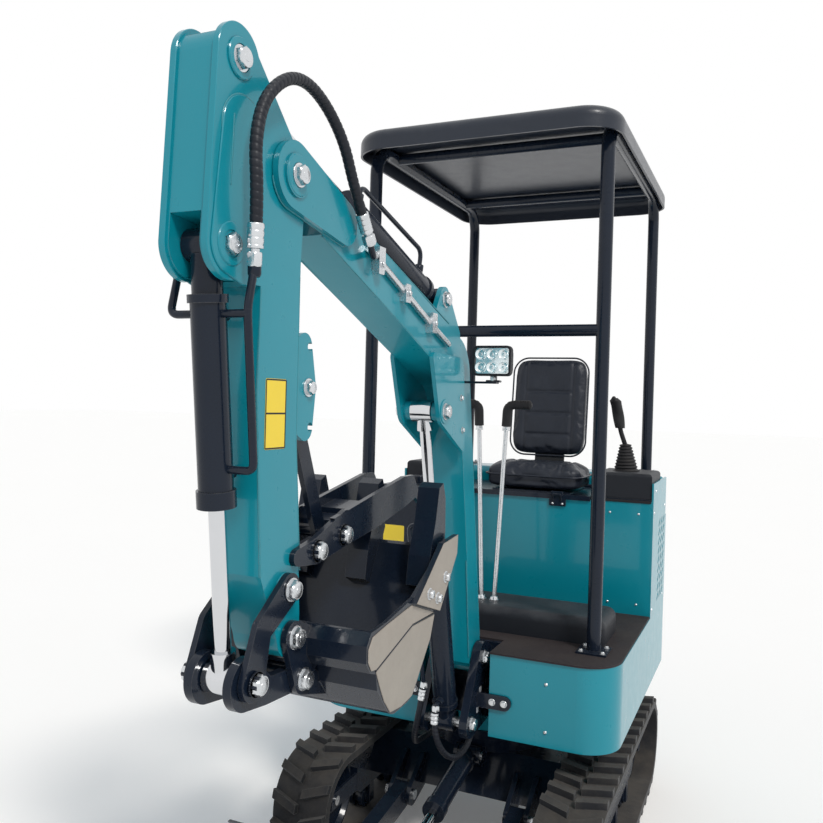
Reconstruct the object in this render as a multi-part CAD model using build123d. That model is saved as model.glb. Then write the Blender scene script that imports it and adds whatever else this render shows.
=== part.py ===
from build123d import *
from math import atan2, cos, degrees, hypot, pi, radians, sin
import os

os.makedirs("parts", exist_ok=True)

# Mini excavator with canopy, bucket and thumb. Millimetres, +Z up.
# The machine faces -Y and the operator's left is +X.
# Side outlines are (y, z) points in machine axes, whose origin is on the ground under the
# slew centre. The written parts are shifted along Y so that the origin is under the middle.

# Overall
SLEW_Y = 402.5
HALF_WIDTH = 480.0
DECK_BOTTOM = 432.0
DECK_TOP = 677.0
DECK_FRONT = -370.0
DECK_REAR = 840.0
FRONT_CORNER = 110.0
REAR_CORNER = 190.0
REAR_START = 640.0
PANEL = 6.0
FIT = 0.05
SEAT = 0.3

# Tracks
TRACK_WIDTH = 180.0
TRACK_LENGTH = 1240.0
TRACK_HEIGHT = 345.0
LUG_HEIGHT = 20.0
BELT = 22.0
LUG_COUNT = 34
LUG_LENGTH = 26.0
LUG_SWEEP = 30.0
TRACK_X = HALF_WIDTH - TRACK_WIDTH / 2
WHEEL_Z = TRACK_HEIGHT / 2
WHEEL_Y = TRACK_LENGTH / 2 - TRACK_HEIGHT / 2
BELT_R = TRACK_HEIGHT / 2 - LUG_HEIGHT
WHEEL_R = BELT_R - BELT
WHEEL_WIDTH = 56.0
BEAM_WIDTH = 84.0
BEAM_LOW = 128.0
BEAM_HIGH = 236.0
ROLLER_R = 40.0
ROLLER_Y = (-200.0, 0.0, 200.0)
AXLE_R = 14.0
MOTOR_R = 58.0
RING_R = 205.0
RING_TOP = 372.0

# Dozer blade
BLADE_PIVOT = (-300.0, 172.0)
BLADE_Y = -800.0
BLADE_LOW = 5.0
BLADE_HIGH = 250.0
BLADE_ARM_X = 190.0
BLADE_CYL_BASE = (-215.0, 300.0)
BLADE_CYL_EYE = (-700.0, 205.0)

# Boom bracket and boom
FOOT = (-323.0, 648.0)
LIFT_BASE = (-425.0, 481.0)
LIFT_EYE = (-659.0, 1391.0)
BRACKET_IN = 54.0
BRACKET_OUT = 78.0
NOTCH_HALF = 112.0
NOTCH_REAR = -236.0
BOOM_HALF = 50.0
ARM_PIVOT = (-1416.0, 1817.0)
BOOM_EAR = 12.0
BOOM_END_R = 140.0
KNEE_EAR = 11.0
ARM_CYL_BASE = (-637.0, 1691.0)
ARM_CYL_EYE = (-1576.0, 1967.0)
KNEE_OUTER = (-458.0, 1573.0)
KNEE_INNER = (-524.0, 1449.0)

# Arm, bucket, links and thumb
ARM_HALF = 48.0
BUCKET_CYL_BASE = (-1591.0, 1662.0)
ROCKER_PIVOT = (-1400.0, 1065.0)
BUCKET_PIVOT = (-1382.0, 973.0)
LINK_PIN = (-1510.0, 925.0)
EAR_PIN = (-1348.0, 886.0)
THUMB_PIN = (-1304.0, 1121.0)
THUMB_BOLT = (-1200.0, 1138.0)
EAR_IN = 50.4
EAR_PLATE = 12.0
BUCKET_HALF = 190.0
BUCKET_WALL = 8.0
LIP = (-950.0, 1090.0)
HEEL = (-1060.0, 884.0)
TOOTH_PITCH = 153.0
STRUT_PIN = (-1330.0, 1436.0)
BRACKET_HOLE = (-1325.0, 1514.0)
BRACKET_HOLE_R = 9.0
TIP_R = 38.0

# Pins and cylinders
PIN_R = 15.0
HEAD_R = 19.0
HEAD = 13.0
EYE_HALF = 29.0
LIFT_BARREL = 682.0
ARM_BARREL = 510.0
BUCKET_BARREL = 438.0
BLADE_BARREL = 300.0

# Canopy
POST_X = 385.0
POST_FRONT = -217.0
POST_REAR = 765.0
POST_R = 21.0
ROOF_LOW = 2220.0
ROOF_TOP = 2290.0
ROOF_HALF = 432.0
ROOF_FRONT = -335.0
ROOF_REAR = 835.0
CROSSBAR_Z = 1644.0

# Operator's place
BOX_FRONT = 290.0
BOX_TOP = 1085.0
SEAT_X = 30.0
CONSOLE_TOP = 1182.0

nodes = {}


def yz(*points):
    return make_face(Polyline(*points, close=True))


def disc(point, r):
    return Pos(*point) * Circle(r)


def web(*discs):
    edges = []
    for shape in discs:
        edges += shape.edges()
    return make_hull(edges)


def slab(face, x0, x1):
    return extrude(Plane.YZ.offset(x0) * face, x1 - x0)


def rod_x(point, r, x0, x1):
    return slab(disc(point, r), x0, x1)


def hexagon(point, r, x0, x1):
    return slab(Pos(*point) * RegularPolygon(r, 6), x0, x1)


def pair(solid):
    return solid + mirror(solid, about=Plane.YZ)


def bolt_pin(point, r, out):
    """A round pin across the machine with a hex head and washer at each end."""
    shaft = rod_x(point, r, -out, out)
    ends = rod_x(point, HEAD_R + 3, out, out + 3) + hexagon(point, HEAD_R, out + 3, out + HEAD)
    return shaft + pair(ends)


def stub_pins(point, r, inner, out):
    """A pin that the eye between its two ears interrupts, with a hex head at each end."""
    ends = rod_x(point, HEAD_R + 3, out, out + 3) + hexagon(point, HEAD_R, out + 3, out + HEAD)
    return pair(rod_x(point, r, inner, out) + ends)


def box(x0, x1, y0, y1, z0, z1):
    return Pos((x0 + x1) / 2, (y0 + y1) / 2, (z0 + z1) / 2) * Box(x1 - x0, y1 - y0, z1 - z0)


def along(base, tip):
    """The plane at base whose own Z runs to tip and whose own X is the machine's X."""
    return Plane(origin=(0, *base), x_dir=(1, 0, 0), z_dir=(0, tip[0] - base[0], tip[1] - base[1]))


def length(a, b):
    return hypot(b[0] - a[0], b[1] - a[1])


def tube_z(r, z0, z1):
    return Pos(0, 0, (z0 + z1) / 2) * Cylinder(r, z1 - z0)


def cylinder_barrel(base, tip, barrel, r, rod_r, eye_r, neck, port=1):
    """A hydraulic barrel from its base eye, bored for its rod, with gland nut and two ports."""
    eye = Rot(0, 90, 0) * Cylinder(eye_r, 2 * EYE_HALF)
    body = eye + tube_z(EYE_HALF - 3, eye_r * 0.5, neck + 1)
    body += tube_z(r, neck, barrel) + tube_z(r + 4, neck, neck + 14) + tube_z(r + 4, barrel - 30, barrel)
    for z in (neck + 34, barrel - 52):
        body += Pos(0, -port * (r + 5), z) * Rot(90, 0, 0) * Cylinder(11, 22)
    body -= tube_z(rod_r + FIT, neck + 24, barrel + 1)
    body -= Rot(0, 90, 0) * Cylinder(PIN_R + FIT, 2 * EYE_HALF + 2)
    return along(base, tip) * body


def cylinder_rod(base, tip, barrel, r, rod_r, eye_r, reach):
    """A rod with its eye; reach is how far it still runs inside the barrel."""
    full = length(base, tip)
    body = tube_z(rod_r, barrel - reach, full - eye_r * 0.6)
    body += Pos(0, 0, full) * Rot(0, 90, 0) * Cylinder(eye_r, 2 * EYE_HALF)
    body += tube_z(rod_r + 7, full - eye_r - 22, full - eye_r * 0.5)
    return along(base, tip) * body


def track_point(s):
    """Point, outward direction and travel direction at distance s along the belt's outside."""
    straight = 2 * WHEEL_Y
    arc = pi * BELT_R
    s = s % (2 * straight + 2 * arc)
    if s < straight:
        return (WHEEL_Y - s, WHEEL_Z + BELT_R), 90.0
    s -= straight
    if s < arc:
        a = 90 + degrees(s / BELT_R)
        return (-WHEEL_Y + BELT_R * cos(radians(a)), WHEEL_Z + BELT_R * sin(radians(a))), a
    s -= arc
    if s < straight:
        return (-WHEEL_Y + s, WHEEL_Z - BELT_R), 270.0
    s -= straight
    a = 270 + degrees(s / BELT_R)
    return (WHEEL_Y + BELT_R * cos(radians(a)), WHEEL_Z + BELT_R * sin(radians(a))), a


def lug(half, height):
    """One swept tread bar on one half of the belt; its own Z points outward from the belt."""
    inner = 6.0
    outer = TRACK_WIDTH / 2 - 2
    sink = 5.0
    plan = Polyline(
        (half * inner, 0),
        (half * outer, LUG_SWEEP),
        (half * outer, LUG_SWEEP + LUG_LENGTH),
        (half * inner, LUG_LENGTH),
        close=True,
    )
    return Pos(0, -(LUG_SWEEP + LUG_LENGTH) / 2, -sink) * extrude(make_face(plan), height + sink)


def track(side):
    """One rubber track: a closed belt with chevron lugs on its outside."""
    outer = web(disc((-WHEEL_Y, WHEEL_Z), BELT_R), disc((WHEEL_Y, WHEEL_Z), BELT_R))
    inner = web(disc((-WHEEL_Y, WHEEL_Z), WHEEL_R), disc((WHEEL_Y, WHEEL_Z), WHEEL_R))
    belt = slab(outer - inner, -TRACK_WIDTH / 2, TRACK_WIDTH / 2)
    loop = 4 * WHEEL_Y + 2 * pi * BELT_R
    bars = []
    for i in range(LUG_COUNT):
        for half, phase in ((1, 0.0), (-1, 0.5)):
            (y, z), a = track_point((i + phase) * loop / LUG_COUNT)
            out = (0, cos(radians(a)), sin(radians(a)))
            tip = BELT_R + LUG_HEIGHT
            corner = hypot(tip, (LUG_SWEEP + LUG_LENGTH) / 2) - tip
            height = LUG_HEIGHT if a in (90.0, 270.0) else LUG_HEIGHT - corner
            bars.append(Plane(origin=(0, y, z), x_dir=(1, 0, 0), z_dir=out) * lug(half, height))
    return Pos(side * TRACK_X, 0, 0) * (belt + bars)


def track_frame():
    """Side beams inside the tracks, two cross members and the slew pedestal."""
    gap = WHEEL_R + 8
    front = -WHEEL_Y + gap
    rear = WHEEL_Y - gap
    beam = yz(
        (front, BEAM_LOW + 16),
        (front + 26, BEAM_LOW),
        (rear - 26, BEAM_LOW),
        (rear, BEAM_LOW + 16),
        (rear, BEAM_HIGH - 18),
        (0, BEAM_HIGH),
        (front, BEAM_HIGH - 18),
    )
    fork = yz(
        (-WHEEL_Y - 26, WHEEL_Z - 24),
        (front + 90, WHEEL_Z - 30),
        (front + 90, WHEEL_Z + 30),
        (-WHEEL_Y - 26, WHEEL_Z + 24),
    )
    mount = web(disc((WHEEL_Y, WHEEL_Z), MOTOR_R + 14), Pos(rear, WHEEL_Z) * Rectangle(40, 90))
    mount -= disc((WHEEL_Y, WHEEL_Z), MOTOR_R + FIT)
    half = WHEEL_WIDTH / 2
    side = slab(beam, TRACK_X - BEAM_WIDTH / 2, TRACK_X + BEAM_WIDTH / 2)
    side += slab(fork, TRACK_X + half + 4, TRACK_X + half + 13)
    side += slab(fork, TRACK_X - half - 13, TRACK_X - half - 4)
    side += slab(mount, TRACK_X - BEAM_WIDTH / 2, TRACK_X - BEAM_WIDTH / 2 + 14)
    leg = yz((-250, 190), (-170, 150), (170, 150), (250, 190), (150, 300), (-150, 300))
    cross = slab(leg, -TRACK_X + BEAM_WIDTH / 2, TRACK_X - BEAM_WIDTH / 2)
    lugs = slab(web(disc(BLADE_PIVOT, 34), disc((-210, 200), 34), disc((-210, 250), 20)), 0, 14)
    ears = Pos(BLADE_ARM_X - 38, 0, 0) * lugs + Pos(BLADE_ARM_X + 24, 0, 0) * lugs
    seat = slab(web(disc(BLADE_CYL_BASE, 28), disc((-150, 270), 30)), EYE_HALF + 2, EYE_HALF + 14)
    base = Pos(0, 0, (300 + RING_TOP - 26) / 2) * Cylinder(RING_R - 20, RING_TOP - 26 - 300)
    body = cross + base + pair(side) + pair(ears) + pair(seat)
    body -= pair(rod_x(BLADE_PIVOT, PIN_R, BLADE_ARM_X - 60, BLADE_ARM_X + 60))
    body -= rod_x(BLADE_CYL_BASE, PIN_R, -EYE_HALF - 20, EYE_HALF + 20)
    body -= pair(rod_x((-WHEEL_Y, WHEEL_Z), AXLE_R, TRACK_X - 60, TRACK_X + 60))
    return body


def frame_pins():
    """The pins of the blade arms and of the blade cylinder's base, and the idlers' axles."""
    arms = rod_x(BLADE_PIVOT, PIN_R, BLADE_ARM_X - 44, BLADE_ARM_X + 44)
    arms += hexagon(BLADE_PIVOT, HEAD_R, BLADE_ARM_X + 44, BLADE_ARM_X + 54)
    axles = rod_x((-WHEEL_Y, WHEEL_Z), AXLE_R, TRACK_X - 46, TRACK_X + 46)
    base = rod_x(BLADE_CYL_BASE, PIN_R, -EYE_HALF - 18, EYE_HALF + 18)
    return pair(arms) + pair(axles) + base


def idlers():
    """The front wheels, grooved on the rim and dished at the hub."""
    half = WHEEL_WIDTH / 2
    r = WHEEL_R - SEAT
    profile = Polyline(
        (0, AXLE_R + FIT),
        (half, AXLE_R + FIT),
        (half, 40),
        (half - 14, 46),
        (half - 14, r - 22),
        (half, r - 14),
        (half, r - 6),
        (half - 16, r),
        (0, r),
        close=True,
    )
    wheel = revolve(make_face(profile), Axis.X)
    wheel += mirror(wheel, about=Plane.YZ)
    return pair(Pos(TRACK_X, -WHEEL_Y, WHEEL_Z) * wheel)


def sprockets():
    """The rear drive wheels, with a notched rim that takes the belt's links."""
    half = 16.0
    teeth = 11
    r = WHEEL_R - SEAT
    face = Circle(r)
    for i in range(teeth):
        a = 360 / teeth * i
        notch = Rot(0, 0, a) * Pos(r + 4, 0) * Circle(17)
        face -= notch
    face -= Circle(20)
    for i in range(6):
        face -= Rot(0, 0, 60 * i) * Pos(62, 0) * Circle(12)
    wheel = slab(face, -half, half) + slab(Circle(44) - Circle(20), half, half + 14)
    return pair(Pos(TRACK_X, WHEEL_Y, WHEEL_Z) * wheel)


def travel_motors():
    """The hydraulic motors that carry the sprockets, reaching inboard through the frame."""
    inner = -BEAM_WIDTH / 2
    body = slab(Circle(MOTOR_R), inner - 60, -17) + slab(Circle(19.9), -17, 30.3)
    body += slab(Circle(30), 30.3, 44)
    body += slab(Rectangle(90, 74), inner - 96, inner - 60)
    return pair(Pos(TRACK_X, WHEEL_Y, WHEEL_Z) * body)


def rollers():
    """Three flanged rollers on each side that run on the inside of the belt's lower run."""
    low = WHEEL_Z - WHEEL_R
    profile = Polyline(
        (0, 0),
        (34, 0),
        (34, ROLLER_R - 14),
        (26, ROLLER_R - 14),
        (24, ROLLER_R - SEAT),
        (10, ROLLER_R - SEAT),
        (8, ROLLER_R - 12),
        (0, ROLLER_R - 12),
        close=True,
    )
    roller = revolve(make_face(profile), Axis.X)
    roller += mirror(roller, about=Plane.YZ)
    axle = slab(Circle(11), -38, 38)
    cheek = box(34.3, 42, -16, 16, -16, BEAM_LOW - low - ROLLER_R)
    one = roller + axle + pair(cheek)
    out = []
    for y in ROLLER_Y:
        out.append(pair(Pos(TRACK_X, y, low + ROLLER_R) * one))
    return out[0] + out[1:]


def slew_ring():
    """The fixed ring of the slewing bearing on top of the pedestal."""
    z0 = RING_TOP - 26
    return Pos(0, 0, (z0 + RING_TOP) / 2) * (Cylinder(RING_R, 26) - Cylinder(RING_R - 60, 27))


def blade():
    """A curved blade on two arms, with the cylinder's clevis behind its middle."""
    height = BLADE_HIGH - BLADE_LOW
    bow = ThreePointArc(
        (BLADE_Y - 18, BLADE_LOW), (BLADE_Y + 26, BLADE_LOW + height * 0.5), (BLADE_Y - 26, BLADE_HIGH)
    )
    back = ThreePointArc(
        (BLADE_Y - 14, BLADE_HIGH), (BLADE_Y + 38, BLADE_LOW + height * 0.5), (BLADE_Y - 2, BLADE_LOW)
    )
    face = make_face([bow, Line(bow @ 1, back @ 0), back, Line(back @ 1, bow @ 0)])
    plate = slab(face, -HALF_WIDTH, HALF_WIDTH)
    plate += slab(yz((BLADE_Y - 28, BLADE_LOW), (BLADE_Y + 34, BLADE_LOW), (BLADE_Y + 34, 90)), -2, 2)
    arm = web(disc(BLADE_PIVOT, 32), disc((BLADE_Y + 62, 120), 32))
    beams = pair(slab(arm, BLADE_ARM_X - 23, BLADE_ARM_X + 23))
    tube = box(-BLADE_ARM_X, BLADE_ARM_X, BLADE_Y + 22, BLADE_Y + 72, 96, 148)
    cheek = web(disc(BLADE_CYL_EYE, 26), disc((BLADE_Y + 46, 130), 24), disc((BLADE_Y + 40, 210), 10))
    clevis = pair(slab(cheek, EYE_HALF + 2, EYE_HALF + 14))
    body = plate + beams + tube + clevis + pair(rod_x(BLADE_CYL_EYE, PIN_R, EYE_HALF + 1, EYE_HALF + 20))
    return body - pair(rod_x(BLADE_PIVOT, PIN_R + FIT, BLADE_ARM_X - 60, BLADE_ARM_X + 60))


def plan(y0, y1, half, front, rear):
    """The house outline in plan, with rounded front and rear corners."""
    shape = Pos(0, (y0 + y1) / 2) * Rectangle(2 * half, y1 - y0)
    if front:
        shape = fillet(shape.vertices().sort_by(Axis.Y)[:2], front)
    if rear:
        shape = fillet(shape.vertices().sort_by(Axis.Y)[-2:], rear)
    return shape


def raise_plan(shape, z0, z1):
    return extrude(Plane.XY.offset(z0) * shape, z1 - z0)


def deck():
    """The slewing platform with its front skirt, notched for the boom bracket."""
    body = raise_plan(plan(DECK_FRONT, DECK_REAR - 4, HALF_WIDTH, FRONT_CORNER, REAR_CORNER), DECK_BOTTOM, DECK_TOP)
    body -= box(-NOTCH_HALF, NOTCH_HALF, DECK_FRONT - 1, NOTCH_REAR, DECK_BOTTOM - 1, DECK_TOP + 1)
    ring = Pos(0, 0, (RING_TOP + SEAT + DECK_BOTTOM) / 2) * Cylinder(RING_R - 8, DECK_BOTTOM - RING_TOP - SEAT)
    return body + ring


def bracket():
    """Two plates that hold the boom's foot and the lift cylinder, with a bolted side lug."""
    rear = NOTCH_REAR - 24
    shape = web(disc(FOOT, 48), disc(LIFT_BASE, 42), disc((rear, 470), 20), disc((rear, 650), 20))
    plates = pair(slab(shape, BRACKET_IN, BRACKET_OUT))
    back = box(-NOTCH_HALF, NOTCH_HALF, NOTCH_REAR - 14, NOTCH_REAR, DECK_BOTTOM + 12, DECK_TOP)
    lug_plan = web(Pos(BRACKET_OUT + 8, 538) * Rectangle(16, 42), Pos(160, 538) * Circle(21))
    lug = extrude(Plane.XZ.offset(-DECK_FRONT) * lug_plan, 9)
    body = plates + back + lug + mirror(lug, about=Plane.YZ)
    body -= rod_x(FOOT, PIN_R, -90, 90)
    return body - rod_x(LIFT_BASE, PIN_R, -90, 90)


def bracket_pins():
    return bolt_pin(FOOT, PIN_R, BRACKET_OUT) + bolt_pin(LIFT_BASE, PIN_R, BRACKET_OUT)


def floor_mat():
    """A rubber mat over the footwell, open round the boom's foot."""
    shape = plan(DECK_FRONT - 6, BOX_FRONT, HALF_WIDTH - 2, FRONT_CORNER, 0)
    shape -= Pos(0, DECK_FRONT) * Rectangle(2 * NOTCH_HALF, 2 * (NOTCH_REAR - DECK_FRONT))
    body = raise_plan(shape, DECK_TOP, DECK_TOP + 6)
    return body - box(-480, TANK_X, TANK_FRONT, BOX_FRONT, DECK_TOP - 1, DECK_TOP + 8)


TANK_X = -255.0
TANK_FRONT = 55.0


def lever_box():
    """The raised foot tunnel that the travel levers come out of."""
    body = box(-200, 404, -160, 66, DECK_TOP + 6, 762)
    return fillet(body.edges().group_by(Axis.Z)[-1] + body.edges().filter_by(Axis.Z), 30)


def side_tank():
    """The tank box beside the footwell on the operator's right, with its filler."""
    body = box(-HALF_WIDTH + 4, TANK_X, TANK_FRONT, BOX_FRONT, DECK_TOP, 1108)
    body = fillet(body.edges().group_by(Axis.Z)[-1], 12)
    cap = Pos(-370, 180, 1108 + 14) * Cylinder(34, 28)
    return body + fillet(cap.edges().group_by(Axis.Z)[-1], 5)


def front_panel():
    """The teal panel under the seat, with a recess along its top seam."""
    body = box(-HALF_WIDTH + PANEL, HALF_WIDTH - PANEL, BOX_FRONT, BOX_FRONT + PANEL, DECK_TOP, BOX_TOP)
    return body


def slots(rows, columns):
    """Slanted louvre slots as (y, z) shapes for the side panels."""
    out = []
    for i in range(rows):
        for j in range(columns):
            centre = Pos(470 + 58 * j, 585 + 34 * i)
            out.append(centre * Rot(0, 0, 32) * SlotOverall(46, 11))
    return out


def side_panels():
    """The two outer side panels with their louvre slots."""
    face = yz((BOX_FRONT, DECK_TOP), (REAR_START, DECK_TOP), (REAR_START, 1150), (BOX_FRONT, 1150))
    for shape in slots(13, 3):
        if shape.center().Y > DECK_TOP + 14:
            face -= shape
    return pair(slab(face, HALF_WIDTH - PANEL, HALF_WIDTH))


def counterweight():
    """The cast rear weight that closes the house with its rounded corners."""
    shape = plan(REAR_START, DECK_REAR, HALF_WIDTH, 0, REAR_CORNER)
    body = raise_plan(shape, DECK_TOP, 1000)
    hood = raise_plan(plan(REAR_START, DECK_REAR - 6, HALF_WIDTH - 4, 0, REAR_CORNER - 4), 1000, 1150)
    hood = fillet(hood.edges().group_by(Axis.Z)[-1], 30)
    return body + hood


def engine():
    return box(-190, 190, 380, 610, DECK_TOP, 1000)


def top_cover():
    """The fixed frame round the seat lid, on top of the body."""
    body = box(-HALF_WIDTH + PANEL, HALF_WIDTH - PANEL, BOX_FRONT, REAR_START, BOX_TOP, BOX_TOP + 6)
    body -= box(LID[0], LID[1], BOX_FRONT - 1, LID[2], BOX_TOP - 1, BOX_TOP + 7)
    for x in LID_HINGES:
        body -= box(x - 34, x + 34, LID[2] - 1, REAR_START + 1, BOX_TOP - 1, BOX_TOP + 7)
        body += Pos(x, 0, 0) * (pair(rod_x(LID_HINGE, 9, 31, 46)) + rod_x(LID_HINGE, 3.5, -46, 46))
    return body


LID = (-235.0, 262.0, 620.0)
LID_HINGE = (630.0, 1094.0)
LID_HINGES = (-150.0, 190.0)


def seat_lid():
    """The plate that carries the seat and tips up over the engine."""
    gap = 3.0
    body = box(LID[0] + gap, LID[1] - gap, BOX_FRONT - 8, LID[2] - gap, BOX_TOP + 0.5, BOX_TOP + 6)
    body += box(LID[0] + gap, LID[1] - gap, BOX_FRONT - 8, BOX_FRONT - 1, BOX_TOP - 12, BOX_TOP + 6)
    knuckle = rod_x(LID_HINGE, 8, -30, 30) + box(-30, 30, LID[2] - 6, LID_HINGE[0], BOX_TOP + 2, BOX_TOP + 6)
    for x in LID_HINGES:
        body += Pos(x, 0, 0) * (knuckle - rod_x(LID_HINGE, 3.5 + FIT, -31, 31))
    return body


def seat_cushion():
    body = box(SEAT_X - 195, SEAT_X + 195, 296, 560, BOX_TOP + 10, 1196)
    return fillet(body.edges(), 26)


def seat_back():
    """The seat back, leaning back a little, with rounded shoulders."""
    body = box(-165, 165, -32, 32, 0, 420)
    body = fillet(body.edges().filter_by(Axis.Y).group_by(Axis.Z)[-1], 70)
    body = fillet(body.edges().filter_by(Axis.X), 18)
    return Pos(SEAT_X, 545, 1200) * Rot(-6, 0, 0) * body


def seat_frame():
    """The sheet pan under the cushion and the strap behind the back rest."""
    pan = box(SEAT_X - 150, SEAT_X + 150, 310, 590, BOX_TOP + 6, BOX_TOP + 9.5)
    strap = box(-60, 60, 32.3, 38.3, -104, 200)
    return pan + Pos(SEAT_X, 545, 1200) * Rot(-6, 0, 0) * strap


def consoles():
    """The two control boxes beside the seat."""
    left = box(272, HALF_WIDTH - 8, BOX_FRONT + 6, 520, BOX_TOP + 6, CONSOLE_TOP)
    left = fillet(left.edges().group_by(Axis.Z)[-1], 14)
    right = box(-HALF_WIDTH + 8, -272, BOX_FRONT + 6, 520, BOX_TOP + 6, CONSOLE_TOP)
    right = fillet(right.edges().group_by(Axis.Z)[-1], 14)
    return left + right


def joystick(x, lean):
    """A pilot lever: ribbed boot, stem and a shaped grip."""
    boot = Pos(0, 0, 3) * Cylinder(44, 6)
    for i in range(6):
        boot += Pos(0, 0, 10 + 14 * i) * Cone(42 - 4 * i, 33 - 4 * i, 14)
    stem = Pos(0, 0, 130) * Cylinder(9, 120)
    grip = Pos(0, 0, 205) * Cylinder(17, 90) + Pos(0, -14, 246) * Rot(20, 0, 0) * Box(46, 60, 32)
    return Pos(x, 400, CONSOLE_TOP) * (boot + Rot(8, lean, 0) * (stem + grip))


def travel_levers():
    """Two steel travel levers with black handles bent outward at the top."""
    out = []
    for side in (1, -1):
        shaft = Pos(0, 0, 294.3) * Cylinder(7, 587.4)
        path = FilletPolyline((0, 0, 580), (0, 0, 652), (side * 78, 0, 656), radius=26)
        grip = sweep(Plane(origin=path @ 0, z_dir=path % 0) * Circle(15), path)
        out.append(Pos(side * 22, -70, 762) * Rot(0, side * 2.5, 0) * (shaft + grip))
    return out[0] + out[1]


def canopy_frame():
    """Each side is one tube bent over the top; a crossbar joins the front posts."""
    top = ROOF_TOP - 6 - POST_R - SEAT
    points = [
        (POST_X, POST_FRONT, DECK_TOP + 6),
        (POST_X, POST_FRONT, top),
        (POST_X, POST_REAR, top),
        (POST_X, POST_REAR, 1151),
    ]
    path = FilletPolyline(*points, radius=90)
    start = Plane(origin=path @ 0, z_dir=path % 0)
    tube = sweep(start * Circle(POST_R), path)
    foot = Pos(POST_X, POST_FRONT, DECK_TOP + 9) * Box(90, 90, 6)
    foot += Pos(POST_X, POST_REAR, 1154) * Box(80, 80, 6)
    body = pair(tube + foot)
    for y, z in ((POST_FRONT, CROSSBAR_Z), (POST_FRONT + 150, top), (POST_REAR - 150, top)):
        body += rod_x((y, z), POST_R - 3, -POST_X, POST_X)
    return body


def canopy_roof():
    """A moulded roof: a rounded shell open below, with a deep skirt."""
    shape = Pos(0, (ROOF_FRONT + ROOF_REAR) / 2) * RectangleRounded(
        2 * ROOF_HALF, ROOF_REAR - ROOF_FRONT, 120
    )
    body = raise_plan(shape, ROOF_LOW, ROOF_TOP)
    body = fillet(body.edges().group_by(Axis.Z)[-1], 34)
    inner = offset(shape, -7)
    core = raise_plan(inner, ROOF_LOW - 1, ROOF_TOP - 6)
    core = fillet(core.edges().group_by(Axis.Z)[-1], 28)
    return body - core


def boom():
    """The bent boom: a box beam with ear plates at the arm, knee ears and a foot boss."""
    line = yz(
        (-1400, 1866),
        KNEE_OUTER,
        (-278, 640),
        (-378, 640),
        (-426, 960),
        KNEE_INNER,
        (-1384, 1762),
        (-1440, 1790),
    )
    line = fillet(line.vertices().sort_by_distance((*KNEE_OUTER, 0))[0], 120)
    line = fillet(line.vertices().sort_by_distance((*KNEE_INNER, 0))[0], 80)
    line = line + disc(FOOT, 46) - disc(ARM_PIVOT, BOOM_END_R)
    body = slab(line, -BOOM_HALF, BOOM_HALF)
    ear = web(disc(ARM_PIVOT, 62), disc((-1225, 1770), 44))
    body += pair(slab(ear, BOOM_HALF, BOOM_HALF + BOOM_EAR))
    body += pair(slab(disc(ARM_PIVOT, 40), BOOM_HALF + BOOM_EAR, BOOM_HALF + BOOM_EAR + 4))
    knee = web(disc(LIFT_EYE, 38), disc((-512, 1290), 12), disc((-735, 1530), 14), disc((-560, 1500), 40))
    body += pair(slab(knee, BOOM_HALF, BOOM_HALF + KNEE_EAR))
    body += pair(rod_x(LIFT_EYE, 26, EYE_HALF + 1.5, BOOM_HALF))
    base = web(disc(ARM_CYL_BASE, 34), disc((-700, 1632), 12), disc((-540, 1600), 24))
    body += pair(slab(base, EYE_HALF + 1.5, BOOM_HALF - 6))
    for point in (ARM_PIVOT, ARM_CYL_BASE, LIFT_EYE):
        body -= rod_x(point, PIN_R, -90, 90)
    return body - rod_x(FOOT, PIN_R + FIT, -80, 80)


def boom_pins():
    """The boom's pins: the arm pivot and the two cylinder pins."""
    body = bolt_pin(ARM_PIVOT, PIN_R, BOOM_HALF + BOOM_EAR + 4)
    body += bolt_pin(ARM_CYL_BASE, PIN_R, BOOM_HALF - 6)
    return body + stub_pins(LIFT_EYE, PIN_R, EYE_HALF + 1, BOOM_HALF + KNEE_EAR)


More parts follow.
